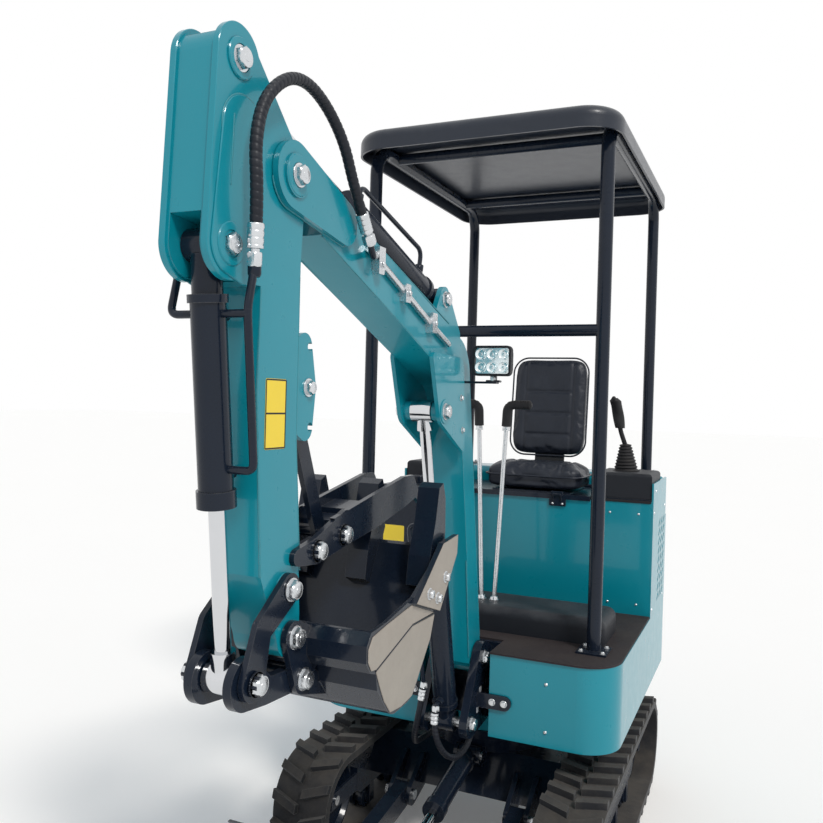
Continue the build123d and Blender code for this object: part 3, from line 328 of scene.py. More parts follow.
def piece(name, shells, material, body, angle=34, hides=(), blended=None):
    """One object from several shells: points moved to the frame, normals outward, sharp past the angle."""
    points, faces, start = [], [], 0
    for some, quads in shells:
        points.append(some)
        faces += [[k + start for k in face] for face in quads]
        start += len(some)
    mesh = bpy.data.meshes.new(name)
    mesh.from_pydata(row(np.vstack(points)).tolist(), [], faces)
    work = bmesh.new()
    work.from_mesh(mesh)
    bmesh.ops.recalc_face_normals(work, faces=work.faces)
    work.to_mesh(mesh)
    work.free()
    mesh.polygons.foreach_set("use_smooth", np.ones(len(mesh.polygons), bool))
    mesh.set_sharp_from_angle(angle=math.radians(angle))
    mesh.materials.append(material)
    made = bpy.data.objects.new(name, mesh)
    bpy.context.scene.collection.objects.link(made)
    if hides:
        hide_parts(*hides)
    if blended:
        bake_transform(made)
    else:
        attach(made, body)
    return made


def turned(profile, base, axis, ring=28, flats=0.0, loop=False):
    """A turned form: height h on the axis, radius r round it; flats cut r at flats / cos(angle off one)."""
    h, r = np.asarray(profile, float).T
    a = np.linspace(0, 2 * np.pi, ring, endpoint=False)
    reach = np.repeat(r[:, None], ring, 1)
    if flats:
        reach = np.minimum(reach, flats / np.cos((a + np.pi / 6) % (np.pi / 3) - np.pi / 6))
    u, v, w = basis(axis)
    spoke = np.cos(a)[:, None] * u + np.sin(a)[:, None] * v
    return grid(np.asarray(base, float) + h[:, None, None] * w + reach[..., None] * spoke, loop=loop)


def ring_of(base, axis, inner, outer, height, chamfer=1.2, ring=40):
    """A flat ring with a chamfered outer edge, standing on its base."""
    edge = [(-0.3, inner), (height, inner), (height, outer - chamfer), (height - chamfer, outer),
            (-0.3, outer)]
    return turned(edge, base, axis, ring, loop=True)


def hex_bolt(base, axis, flats=6.5, height=5.5, washer=8.5, thick=1.6):
    """A washer and a hexagon head whose corners are turned off at the top."""
    corner = flats / math.cos(math.pi / 6)
    head = [(thick - 0.2, corner), (thick + height * 0.78, corner), (thick + height, flats * 0.97)]
    plate = [(-0.3, washer - 0.4), (0.2, washer), (thick - 0.4, washer), (thick, washer - 0.4)]
    crown = [(thick + height - 0.1, flats * 0.90), (thick + height + 0.25, flats * 0.84)]
    return [turned(plate, base, axis), turned(head, base, axis, 24, flats), turned(crown, base, axis, 24)]


def dome_screw(base, axis, r=5.0):
    """A button head: a quarter circle turned, with a hexagon socket's rim inside it."""
    t = np.linspace(0, np.pi / 2, 6)[:-1]
    cap = [(-0.3, r)] + [(r * 0.62 * math.sin(k), r * math.cos(k) * 0.98 + 0.02) for k in t]
    rim = [(r * 0.60, r * 0.42), (r * 0.66, r * 0.40), (r * 0.30, r * 0.34)]
    return [turned(cap + rim, base, axis, 20)]


def swept(path, radius, across=X, ring=14, loop=False):
    """A tube along a path: each ring stands square to the tangent; radius may change along and round it."""
    path = np.asarray(path, float)
    tangent = unit(np.roll(path, -1, 0) - np.roll(path, 1, 0)) if loop else unit(np.gradient(path, axis=0))
    across = np.asarray(across, float)
    side = unit(across - (tangent @ across)[:, None] * tangent)
    over = np.cross(tangent, side)
    a = np.linspace(0, 2 * np.pi, ring, endpoint=False)[None, :, None]
    reach = np.broadcast_to(np.asarray(radius, float), (len(path), ring))[..., None]
    return grid(path[:, None] + reach * (np.cos(a) * side[:, None] + np.sin(a) * over[:, None]), loop=loop)


def pipe_line(points, bend, steps=9):
    """A bent steel pipe's centreline: each corner is a parabola between points a bend's length off it."""
    p = np.asarray(points, float)
    before = p[1:-1] + bend * unit(p[:-2] - p[1:-1])
    after = p[1:-1] + bend * unit(p[2:] - p[1:-1])
    t = np.linspace(0, 1, steps)[None, :, None]
    arcs = (1 - t) ** 2 * before[:, None] + 2 * t * (1 - t) * p[1:-1][:, None] + t**2 * after[:, None]
    return np.vstack([p[:1], arcs.reshape(-1, 3), p[-1:]])


def hull(*discs, steps=96):
    """The outline stretched round discs (y, z, r): in each direction, the disc that reaches furthest."""
    a = np.linspace(0, 2 * np.pi, steps, endpoint=False)
    n = np.stack([np.cos(a), np.sin(a)], 1)
    c = np.array(discs, float)
    best = (c[:, :2] @ n.T + c[:, 2:]).argmax(0)
    return c[best, :2] + c[best, 2:] * n


def rounded(cx, cy, wide, high, r, steps=6):
    """A rectangle's outline with quarter circles of radius r at its corners."""
    a = np.linspace(0, np.pi / 2, steps)[None] + np.arange(4)[:, None] * np.pi / 2
    signs = np.array([(1, 1), (-1, 1), (-1, -1), (1, -1)])[:, None]
    mid = signs * np.array([wide / 2 - r, high / 2 - r]) + np.array([cx, cy])
    return (mid + r * np.stack([np.cos(a), np.sin(a)], -1)).reshape(-1, 2)


def shrink(outline, d):
    """Each point moved inward by d: along the sum of its two edges' normals, over one plus their product."""
    o = np.asarray(outline, float)
    keep = np.linalg.norm(np.roll(o, -1, 0) - o, axis=1) > 1e-6
    o = o[keep]
    edge = unit(np.roll(o, -1, 0) - o)
    inward = np.stack([-edge[:, 1], edge[:, 0]], 1)
    last = np.roll(inward, 1, 0)
    return o + d * (inward + last) / (1 + (inward * last).sum(1, keepdims=True))


def plate(outline, low, high, bevel=0.8, across="x"):
    """A flat plate: its outline, turned anticlockwise, carried from low to high with both rims bevelled."""
    full, small = shrink(outline, 0.0), shrink(outline, bevel)
    flat = np.stack([small, full, full, small])
    level = np.broadcast_to(np.array([low, low + bevel, high - bevel, high])[:, None], flat.shape[:2])
    order = {"x": (level, flat[..., 0], flat[..., 1]), "y": (flat[..., 0], level, flat[..., 1]),
             "z": (flat[..., 0], flat[..., 1], level)}[across]
    return grid(np.stack(order, -1))


def bead(points, r=2.6, pitch=4.5, across=X):
    """A weld seam along straight runs: a tube whose radius swells once in each pitch."""
    p = np.asarray(points, float)
    far = np.concatenate([[0], np.cumsum(np.linalg.norm(np.diff(p, axis=0), axis=1))])
    s = np.linspace(0, far[-1], max(6, int(far[-1] / 1.4)))
    path = np.stack([np.interp(s, far, p[:, k]) for k in range(3)], 1)
    return swept(path, (r * (1 + 0.16 * np.sin(2 * np.pi * s / pitch)))[:, None], across, 8)


def both(shells):
    """The shells and their mirror images across the machine's middle plane."""
    return shells + [(points * np.array([-1, 1, 1]), faces) for points, faces in shells]


def local(base, tip, points):
    """Points of a cylinder's own frame, z from base to tip and x across, to machine points."""
    d = unit(np.subtract(tip, base))
    z, y = np.array([0, d[0], d[1]]), np.array([0, d[1], -d[0]])
    p = np.asarray(points, float)
    return np.array([0, *base]) + p[..., :1] * np.array(X) + p[..., 1:2] * y + p[..., 2:] * z


# Hoses first: their lines are splines through the same control points as the solids'.
ARM_HOSE = [(-1568, 1690), (-1574, 1750), (-1577, 1830), (-1556, 1905), (-1500, 1960), (-1425, 1982),
            (-1350, 1962), (-1290, 1910), (-1240, 1845), (-1196, 1788)]
ARM_HOSE_R, ARM_HOSE_LENGTH, LIFT_HOSE_R = 11.0, 0.6797, 9.0
LIFT_HOSES = {
    "lift_hose_left": [(0, -514, 542), (0, -519, 500), (6, -514, 452), (18, -492, 410), (32, -450, 380),
                       (38, -396, 372), (40, -340, 384), (39, -298, 420), (37, -280, 470), (36, -280, 512)],
    "lift_hose_right": [(-46, -496, 597), (-50, -502, 550), (-62, -492, 500), (-80, -472, 444),
                        (-96, -435, 408),
                        (-110, -390, 380), (-108, -330, 374), (-96, -270, 376), (-70, -246, 382),
                        (-50, -248, 407), (-37, -262, 450), (-35, -280, 490)],
}


def arm_hose(side):
    """The control points of the arm's hose on one side, standing out 5 mm more at every third."""
    return [(side * (82 + (5 if i % 3 == 1 else 0)), y, z) for i, (y, z) in enumerate(ARM_HOSE)]


def spline_line(points):
    """A hose's line: a curve of order three over its control points, read back as points in metres."""
    curve = bpy.data.curves.new("hose_line", "CURVE")
    curve.dimensions, curve.resolution_u = "3D", 32
    spline = curve.splines.new("NURBS")
    spline.points.add(len(points) - 1)
    spline.points.foreach_set("co", np.column_stack([row(points), np.ones(len(points))]).ravel())
    spline.order_u, spline.use_endpoint_u = 3, True
    holder = bpy.data.objects.new("hose_line", curve)
    bpy.context.scene.collection.objects.link(holder)
    mesh = bpy.data.meshes.new_from_object(holder)
    line = np.empty(len(mesh.vertices) * 3)
    mesh.vertices.foreach_get("co", line)
    bpy.data.objects.remove(holder)
    bpy.data.curves.remove(curve)
    bpy.data.meshes.remove(mesh)
    return line.reshape(-1, 3)


def wrapped_hose(name, points, r, bodies, start, end, hides=()):
    """A hose in its spiral guard: radius r less a groove that climbs one pitch in each turn."""
    line = spline_line(points)
    far = np.concatenate([[0], np.cumsum(np.linalg.norm(np.diff(line, axis=0), axis=1))]) * 1000
    s = np.linspace(0, far[-1], int(far[-1] / 1.7))
    path = np.stack([np.interp(s, far, line[:, k]) for k in range(3)], 1) * 1000 - np.array([0, SLEW_Y, 0])
    turn = np.linspace(0, 1, 16, endpoint=False)[None]
    phase = (s[:, None] / 12.5 + turn) % 1
    groove = np.clip(1 - np.abs(phase - 0.5) / 0.16, 0, 1)
    tube = swept(path, r - 1.5 * groove, ring=16)
    made = piece(name, [tube], HOSE, None, 80, hides, (*bodies, start, end))
    return made


for side, name in ((1, "hose_left"), (-1, "hose_right")):
    wrapped_hose(name + "_wrapped", arm_hose(side), ARM_HOSE_R, ("arm", "boom"),
                 (0, -1574, 1800), (0, -1196, 1830), (name,))
for name, control in LIFT_HOSES.items():
    wrapped_hose(name, control, LIFT_HOSE_R, ("house", "lift_barrel"),
                 (0, -300, 470), (0, -525, 560))


# Pins and bolts.
def pin_head(point, out, side=1, flats=16.4, height=13.0):
    """A pin's end: a washer, a hexagon head with turned corners and a raised ring on its face."""
    base, axis = (side * out, *point), (side, 0, 0)
    shells = hex_bolt(base, axis, flats, height - 1.5, 22.0, 3.0)
    return shells + [turned([(height + 1.2, 7.0), (height + 2.2, 6.4), (height + 2.3, 3.0)], base, axis, 20)]


def through_pin(point, out, r=15.0):
    """A pin right across the machine with a head at each end."""
    return [turned([(-out, r), (out, r)], (0, *point), X)] + pin_head(point, out) + pin_head(point, out, -1)


def split_pin(point, inner, out, r=15.0):
    """A pin that the rod's eye interrupts."""
    return both([turned([(inner, r), (out, r)], (0, *point), X)] + pin_head(point, out))


def pins():
    piece("bracket_pin_set", through_pin(FOOT, 78) + through_pin(LIFT_BASE, 78), ZINC, "house",
          hides=("bracket_pins",))
    piece("boom_pin_set", through_pin(ARM_PIVOT, 66) + through_pin(ARM_CYL_BASE, 44)
          + split_pin(LIFT_EYE, 30, 61),
          ZINC, "boom", hides=("boom_pins",))
    strut = [turned([(-44, 9), (44, 9)], (0, *STRUT_PIN), X)]
    strut += both(hex_bolt((44, *STRUT_PIN), X, 12.0, 10.0, 18.0, 3.0))
    piece("arm_pin_set", split_pin(ARM_CYL_EYE, 30, 48) + through_pin(BUCKET_CYL_BASE, 48)
          + through_pin(ROCKER_PIVOT, 63.4) + strut, ZINC, "arm", hides=("arm_pins",))
    piece("bucket_pin_set", through_pin(BUCKET_PIVOT, 62.4) + split_pin(EAR_PIN, 53, 62.4), ZINC, "bucket",
          hides=("bucket_pins",))
    piece("rocker_pin_heads", both(pin_head(LINK_PIN, 66.4, 1, 16.9, 13.4)), ZINC, "rocker")
    heads = [shell for point in (THUMB_PIN, THUMB_BOLT) for shell in pin_head(point, 59.5, 1, 16.9, 13.4)]
    piece("thumb_pin_heads", both(heads), ZINC, "arm")


pins()


def house_bolts():
    """Button screws on the skirt and panels, and hexagon bolts on the lug strap and post feet."""
    shells = []
    for x, z in ((282, 613), (283, 475)):
        shells += both(dome_screw((x, -370, z), (0, -1, 0), 5.5))
    for y, z in ((315, 1045), (315, 704), (600, 1045), (600, 704), (349, 1120)):
        shells += both(dome_screw((480, y, z), X, 5.0))
    for x in (124, 160):
        shells += both(hex_bolt((x, -379, 538), (0, -1, 0), 7.5, 6.0, 10.5, 2.0))
    for dx in (-32, 32):
        for dy in (-32, 32):
            shells += both(hex_bolt((385 + dx, -217 + dy, 689), Z, 5.5, 4.5, 8.0))
            shells += both(hex_bolt((385 + dx * 0.85, 765 + dy * 0.85, 1157), Z, 5.5, 4.5, 8.0))
    for x in (330, 430):
        for z in (1040, 720):
            shells += both(dome_screw((x, 290, z), (0, -1, 0), 4.5))
    for x in (-420, -300):
        shells += dome_screw((x, 55, 1070), (0, -1, 0), 4.5) + dome_screw((x, 55, 720), (0, -1, 0), 4.5)
    piece("house_bolts", shells, ZINC, "house")


house_bolts()


# The arm's head, seams, plates and fittings.
def arm_dressing():
    cheek = hull((*ARM_CYL_EYE, 57), (*BUCKET_CYL_BASE, 59), (-1540, 1810, 70))
    shells = [plate(cheek, 35.5, 48.4, 1.2)]
    doubler = hull((-1561, 1852, 58), (-1591, 1662, 50), (-1550, 1650, 50))
    shells.append(plate(doubler, 47.0, 51.4, 1.4))
    for point, r in ((ARM_CYL_EYE, 34), (BUCKET_CYL_BASE, 36)):
        shells.append(ring_of((48, *point), X, 22.6, r, 5.5 if r == 36 else 4.5, 1.8))
    shells.append(ring_of((48, *ROCKER_PIVOT), X, 22, 30, 2.2))
    piece("arm_head_plates", both(shells), TEAL, "arm")
    seams = [bead([(51.2, -1592, 1872), (51.2, -1597, 1756)], 1.8)]
    a = np.linspace(0.53, 3.94, 33)
    arc = np.stack([np.full(33, 48.6), -1561 + 59 * np.cos(a), 1852 + 59 * np.sin(a)], 1)
    seams.append(swept(arc, 1.9, ring=8))
    for run in (((-1500, 1600), (-1503, 1420)), ((-1503, 1420), (-1479, 1100)),
                ((-1374, 1640), (-1372, 1338)),
                    ((-1372, 1338), (-1347, 1090))):
        (y0, z0), (y1, z1) = run
        inward = 1.2 if y0 < -1450 else -1.2
        seams.append(bead([(46.6, y0 + inward, z0), (46.6, y1 + inward, z1)], 2.1))
    piece("arm_seams", both(seams), BEAD, "arm", 60)


arm_dressing()


def boom_dressing():
    """Raised bosses and seams along the boom's edges and round its ear plates."""
    shells = [ring_of((62, *ARM_PIVOT), X, 22.6, 38, 5.2, 1.8), ring_of((61, *LIFT_EYE), X, 22.6, 33, 2.4)]
    piece("boom_bosses", both(shells), TEAL, "boom")
    seams = []
    for run in (((-1260, 1819), (-620, 1629)), ((-1300, 1731), (-640, 1497)), ((-444, 1490), (-290, 700)),
                ((-512, 1400), (-428, 980)), ((-426, 955), (-381, 660))):
        (y0, z0), (y1, z1) = run
        seams.append(bead([(48.8, y0, z0), (48.8, y1, z1)], 1.9))
    ear = hull((*ARM_PIVOT, 62.5), (-1225, 1770, 44.5), steps=160)[86:158]
    seams.append(swept(np.column_stack([np.full(len(ear), 50.4), ear]), 2.0, ring=8))
    piece("boom_seams", both(seams), BEAD, "boom", 60)


boom_dressing()


def sticker(outline, level, material, name, body, across="x", fields=()):
    """A bare plate 0.7 mm thick, with black field lines where the real one is divided."""
    cx, cy, wide, high = outline
    far = level + 0.7
    piece(name, [plate(rounded(cx, cy, wide, high, 4), level - 0.2, far, 0.15, across)], material, body)
    if fields:
        lines = []
        for fx, fy, fw, fh in fields:
            stripe = rounded(fx, fy, fw, fh, min(fw, fh) * 0.3, 3)
            lines.append(plate(stripe, far - 0.1, far + 0.5, 0.1, across))
        piece(name + "_lines", lines, MOULDED, body)


sticker((-1445, 1386, 66, 126), 48.0, YELLOW, "arm_plate", "arm",
        fields=[(-1445, 1387, 60, 3), (-1445, 1447, 62, 2.5), (-1445, 1325, 62, 2.5),
                (-1476.5, 1386, 2.5, 122), (-1413.5, 1386, 2.5, 122)])
sticker((-412, 926, 84, 66), 55.0, YELLOW, "tank_plate", "house", "y")
for k, (y, z) in enumerate(((-352, 560), (-364, 532), (-372, 506))):
    sticker((y, z, 20, 17), 78.0, GREY, f"bracket_plate_{k + 1}", "house")


# Fittings of the arm hoses.
def ferrule(end, near, r, long, nut=11.0):
    """A crimped sleeve with five rings pressed into it, then a neck and a hexagon nut."""
    end, near = np.asarray(end, float), np.asarray(near, float)
    axis = unit(end - near)
    h = np.linspace(-8, long * 0.52, 40)
    sleeve = [(k, r - 0.9 * max(0.0, math.sin(k * 0.55)) ** 2) for k in h]
    neck = [(h[-1] + 1.0, r - 2.0), (h[-1] + 1.2, r * 0.55), (long * 0.66, r * 0.55)]
    sleeve = [(h[0] - 0.5, r - 1.5)] + sleeve + neck
    corner = nut / math.cos(math.pi / 6)
    hexed = [(long * 0.62, nut * 0.95), (long * 0.66, corner), (long * 0.94, corner), (long, nut * 0.95)]
    return [turned(sleeve, end, axis, 24), turned(hexed, end, axis, 24, nut)]


def arm_fittings():
    silver, dark = [], []
    for side in (1, -1):
        line = arm_hose(side)
        silver += ferrule(line[0], line[1], 14.0, 62, 12.0)
        low = np.array(line[0]) + unit(np.subtract(line[0], line[1])) * 60
        if side > 0:
            drop = local(BUCKET_CYL_BASE, LINK_PIN, [(78, 0, 104), (78, 0, 372), (22, 0, 372)])
            dark.append(swept(pipe_line(np.vstack([low, drop[0], drop[1], drop[2]]), 16), 7.0, Y, 12))
            cross = local(BUCKET_CYL_BASE, LINK_PIN, [(78, 0, 112), (26, 0, 112)])
            joint = np.vstack([cross[0] + (0, 0, 6), cross[0], cross[1]])
            dark.append(swept(pipe_line(joint, 3), 7.0, Y, 12))
        else:
            turn_in = local(BUCKET_CYL_BASE, LINK_PIN, [(-80, 0, 112), (-24, 0, 112)])
            dark.append(swept(pipe_line(np.vstack([low, turn_in[0], turn_in[1]]), 18), 7.0, Y, 12))
        knuckle = turned([(-2, 10), (3, 12), (14, 12), (19, 9)], low, unit((0, 0.03, -1)), 24, 11.0)
        dark.append(knuckle)
    piece("arm_hose_ends", silver, ZINC, "arm", hides=("arm_unions",))
    piece("arm_hose_pipes", dark, BLACK, "bucket_barrel", 60)
    silver, dark = [], []
    for side in (1, -1):
        line = arm_hose(side)
        silver += ferrule(line[-1], line[-2], 14.0, 62, 12.0)
        end = np.array(line[-1]) + unit(np.subtract(line[-1], line[-2])) * 60
        run = np.vstack([end, (side * 79, -1137, 1716), (side * 58, -1098, 1732)])
        dark.append(swept(pipe_line(run, 12), 7.0, X, 12))
    piece("boom_hose_ends", silver, ZINC, "boom")
    piece("boom_hose_pipes", dark, BLACK, "boom", 60)


arm_fittings()


def cylinder_pipe():
    """The arm cylinder's steel pipe: up from the gland's port, back over the barrel and down to its base."""
    path = local(ARM_CYL_BASE, ARM_CYL_EYE, [(0, 46, 458), (0, 78, 458), (0, 96, 100), (0, 46, 98)])
    nuts = [turned([(-8, 9), (-6, 12), (8, 12), (11, 8)], point, unit(away), 24, 11.0)
            for point, away in ((path[0], path[1] - path[0]), (path[3], path[2] - path[3]))]
    piece("arm_cylinder_pipe", [swept(pipe_line(path, 26), 6.0, X, 12)] + nuts, BLACK, "arm_barrel",
          60)


cylinder_pipe()


def lift_fittings():
    """Crimped ends of the lift cylinder's hoses and the looped steel pipe beside its barrel."""
    silver = []
    for control in LIFT_HOSES.values():
        down = unit(np.subtract(control[1], control[0]))
        silver += ferrule(np.add(control[0], 36 * down), np.add(control[0], 60 * down), 11.5, 44, 10.0)
    piece("lift_hose_tops", silver, ZINC, "lift_barrel")
    top = local(LIFT_BASE, LIFT_EYE, [(0, -50, 630), (-46, -54, 630), (-46, -40, 136)])
    elbow = [(0, -486, 552), (0, -513, 548), (0, -514.5, 530)]
    shells = [swept(pipe_line(top, 20), 6.0, Z, 12), swept(pipe_line(elbow, 9), 7.0, X, 12)]
    piece("lift_cylinder_pipe", shells, BLACK, "lift_barrel", 60)
    silver = []
    for control in LIFT_HOSES.values():
        silver += ferrule(control[-1], control[-2], 11.5, 44, 10.0)
    piece("lift_hose_feet", silver, ZINC, "house")


lift_fittings()


def boom_clamps():
    """Bright strap clamps on the boom's steel tubes, each with its bolt."""
    shells = []
    for y, z in ((-1075, 1712), (-765, 1614), (-930, 1668)):
        shells.append(plate(rounded(y, z, 26, 44, 4), 66.5, 69.5, 0.6))
        shells.append(plate(rounded(y, z, 22, 40, 4), 49.0, 67.0, 0.6))
        shells += hex_bolt((69.5, y, z), X, 6.0, 4.5, 8.0)
    piece("boom_clamps", both(shells), ZINC, "boom")


boom_clamps()


# The work lamp.
def work_lamp():
    shell = [plate(rounded(140, 1534, 112 - d, 84 - d, 13), a, b, 1.5, "y")
             for d, a, b in ((0, -513, -500), (6, -500.5, -490), (14, -491, -474))]
    rim = rounded(140, 1534, 112, 84, 13)
    level = [(-511, 0.0), (-521.0, 0.0), (-522.0, 1.0), (-522.0, 6.0), (-512.0, 7.0)]
    steps = [(shrink(rim, d), y) for y, d in level]
    ring = np.stack([np.column_stack([o[:, 0], np.full(len(o), y), o[:, 1]]) for o, y in steps])
    shell.append(grid(ring, ends=False))
    fins = [plate(rounded(140 + 14 * k, 1534, 5, 66, 2, 3), -476, -466, 0.6, "y") for k in range(-3, 4)]
    piece("lamp_body", shell + fins, LAMP, "boom", hides=("work_lamp",))
    cells = [turned([(-7, 15.8), (0, 15.8), (0, 14.8), (-3, 12.5), (-5, 9), (-6, 5), (-2.5, 4), (-2, 1)],
                    (140 + 33 * i, -519.6, 1534 + 18 * j),
                    (0, -1, 0), 24) for i in (-1, 0, 1) for j in (-1, 1)]
    glass = [plate(rounded(140, 1534, 99, 71, 9), -514.4, -512.8, 0.2, "y")]
    piece("lamp_cells", cells + glass, LENS, "boom")
    arms = [plate(rounded(140, 1478, 40, 6, 2, 3), -506, -486, 0.8, "y"),
            plate(rounded(100, 1474, 104, 6, 2, 3), -508, -484, 0.8, "y"),
            plate(rounded(140, 1486, 16, 22, 3, 3), -503, -489, 0.8, "y")]
    piece("lamp_bracket", arms, BLACK, "boom")
    piece("lamp_bolts", hex_bolt((140, -503, 1484), (0, -1, 0), 5.5, 4.5, 8)
          + hex_bolt((61, -541, 1429), X, 6, 5, 9)
          + hex_bolt((61, -525, 1339), X, 6, 5, 9), ZINC, "boom")


work_lamp()


# Controls.
def joystick(side):
    """A pilot lever: a boot of eight folds, then a grip of ovals that lean and narrow upward."""
    hand = "left" if side > 0 else "right"
    base = np.array([side * 364.0, 400.0, 1182.0])
    lean = unit((side * -0.14, -0.14, 1.0))
    h = np.linspace(0, 92, 90)
    fold = 0.5 + 0.5 * np.cos(2 * np.pi * h / 11.5)
    r = 44 - 0.24 * h - 4.2 * (1 - fold) ** 1.5
    boot = turned([(-1, 48), (3, 48), (4, 46)] + list(zip(h + 4, r)) + [(98, 15), (99, 11)], base,
                  unit(0.4 * lean + Z), 36)
    piece("joystick_boot_" + hand, [boot], GRIP, "house", 60, hides=("joystick_" + hand,))
    stem = swept(pipe_line([base + (0, 0, 80), base + lean * 150, base + lean * 210], 20), 8.5, X, 14)
    t = np.linspace(0, 1, 40)
    centre = base + lean * (160 + 112 * t)[:, None] + np.array([0, -1, 0]) * (26 * t**3)[:, None]
    a = np.linspace(0, 2 * np.pi, 28, endpoint=False)
    wide = 17 + 3.5 * np.sin(np.pi * t * 1.3) + 9 * t**5 - 14 * np.clip(t - 0.9, 0, 1) * 10 * 0.9
    deep = 20 + 3 * np.sin(np.pi * t * 3) * (1 - t) + 12 * t**4 - 15 * np.clip(t - 0.9, 0, 1) * 10 * 0.9
    broad = wide[:, None, None] * np.cos(a)[None, :, None] * np.array(X)
    thick = deep[:, None, None] * np.sin(a)[None, :, None] * np.array(Y)
    ring = centre[:, None] + broad + thick
    knob = turned([(0, 7), (4, 7), (6, 5), (6.5, 2)], centre[-3] + (0, -24, 4), (0, -1, 0.25), 20)
    piece("joystick_grip_" + hand, [stem, grid(ring), knob], GRIP, "house", 50)


joystick(1)
joystick(-1)


def travel_levers():
    """Two bright levers in slotted sleeves with black rubber handles bent outward."""
    shafts, grips = [], []
    for side in (1, -1):
        base = np.array([side * 22.0, -70.0, 762.0])
        lean = unit((side * math.sin(math.radians(2.5)), 0, math.cos(math.radians(2.5))))
        out = unit(np.cross(Y, lean)) * side
        shafts.append(swept(np.array([base + lean * k for k in np.linspace(-4, 590, 12)]), 7.2, Y, 16))
        shafts.append(turned([(-1, 17), (3, 17), (4, 14), (12, 12), (13, 8)], base, Z, 24))
        shafts += hex_bolt(base + lean * 566, lean, 11, 12, 13, 3)
        path = pipe_line([base + lean * 580, base + lean * 652, base + lean * 656 + out * 82], 26, 20)
        s = np.concatenate([[0], np.cumsum(np.linalg.norm(np.diff(path, axis=0), axis=1))])
        even = np.stack([np.interp(np.linspace(0, s[-1], 90), s, path[:, k]) for k in range(3)], 1)
        t = np.linspace(0, 1, 90)
        folds = (0.5 + 0.5 * np.cos(t * 2 * np.pi * 17)) * ((t > 0.42) & (t < 0.93))
        r = 15.5 - 1.2 * folds - 9 * np.clip(t - 0.96, 0, 1) * 25 * 0.9
        grips.append(swept(even, r[:, None], Y, 20))
    piece("travel_lever_shafts", shafts, ZINC, "house", 50, hides=("travel_levers",))
    piece("travel_lever_grips", grips, GRIP, "house", 70)


travel_levers()


def latch():
    """The lid's toggle latch: two black leaves, a draw hoop and four screws."""
    leaves = [plate(rounded(140, 1062, 62, 30, 4), 282.5, 286.5, 0.8, "y"),
              plate(rounded(140, 1094, 44, 16, 4), 273.5, 282.6, 1.0, "y")]
    hoop = swept(pipe_line([(126, 280, 1066), (126, 274, 1092), (154, 274, 1092), (154, 280, 1066)], 5), 2.2,
                 (0.2, 1, 0.1), 8)
    piece("lid_latch", leaves + [hoop], BLACK, "house")
    screws = [shell for x in (122, 158) for shell in dome_screw((x, 282.5, 1056), (0, -1, 0), 4.6)]
    piece("lid_latch_screws", screws, ZINC, "house")


latch()


def seal_strip():
    """The black rubber strip between the panel and the lid, all across the front."""
    strip = plate(rounded(0, 1083, 944, 9, 3, 3), 286.5, 291, 0.8, "y")
    piece("panel_seal", [strip], GRIP, "house")


seal_strip()


# The bucket's fasteners and plates.
def bucket_dressing():
    d = unit(np.subtract(HEEL, LIP))
    outward = np.array([0, -d[1], d[0]])
    shells = []
    for x in (-153, 0, 153):
        for down in (34, 82):
            y, z = np.add(LIP, down * d)
            shells += hex_bolt((x, y, z), outward, 8.0, 7.0, 11.5, 2.2)
    for y, z in ((-1076, 1008), (-1030, 990), (-986, 1028)):
        shells += both(hex_bolt((202, y, z), X, 9.0, 8.0, 13.0, 2.4))
    piece("bucket_bolts", shells, ZINC, "bucket")
    # Thin tan sheets on the side plate's two lobes and on the side cutter, coloured with painted glare over
    # worn steel.
    outline = np.array([(-1300, 905), (-1280, 868), (-1262, 838), (-1232, 806), (-1182, 801), (-1128, 806),
                        (-1074, 862),
                        (-1036, 903), (-1016, 950), (-1134, 952)])
    upper = np.array([(-1300, 909), (-1134, 956), (-1018, 955), (-1141, 997), (-1258, 984), (-1318, 975),
                      (-1334, 955),
                      (-1334, 932), (-1320, 912)])
    glare_and_wear_sheets = [plate(part, 189.6, 191.6, 0.8) for part in (outline, upper)]
    cutter = np.array([(-1141, 1000), (-1012, 958), (-915, 1069), (-912, 1112), (-1000, 1104)])
    glare_and_wear_sheets.append(plate(cutter, 201.5, 203.0, 0.8))
    piece("bucket_side_plates", both(glare_and_wear_sheets), GLARE_AND_WEAR, "bucket")
    seams = [bead([(190.5, -1300, 907), (190.5, -1134, 954), (190.5, -1016, 953)], 1.6)]
    for x in (50, 62.6):
        seams.append(bead([(x, -1290, 866), (x, -1240, 812)], 2.4))
    piece("bucket_seams", both(seams), BLACK, "bucket", 60)


bucket_dressing()


# The seat.
def pillow(centre, half, power, lean=0.0, steps=64):
    """A boxy closed form: each axis is cosine or sine to a small power, so that the sides lie flat."""
    u = np.linspace(-np.pi / 2, np.pi / 2, steps // 2)[:, None]
    v = np.linspace(-np.pi, np.pi, steps, endpoint=False)[None]

    def soft(k):
        return np.sign(k) * np.abs(k) ** power
    p = np.stack([half[0] * soft(np.cos(u)) * soft(np.cos(v)), half[1] * soft(np.cos(u)) * soft(np.sin(v)),
                  half[2] * soft(np.sin(u)) * np.ones_like(v)], -1)
    c, s = math.cos(lean), math.sin(lean)
    p = p @ np.array([[1, 0, 0], [0, c, s], [0, -s, c]])
    return grid(p + np.array(centre))


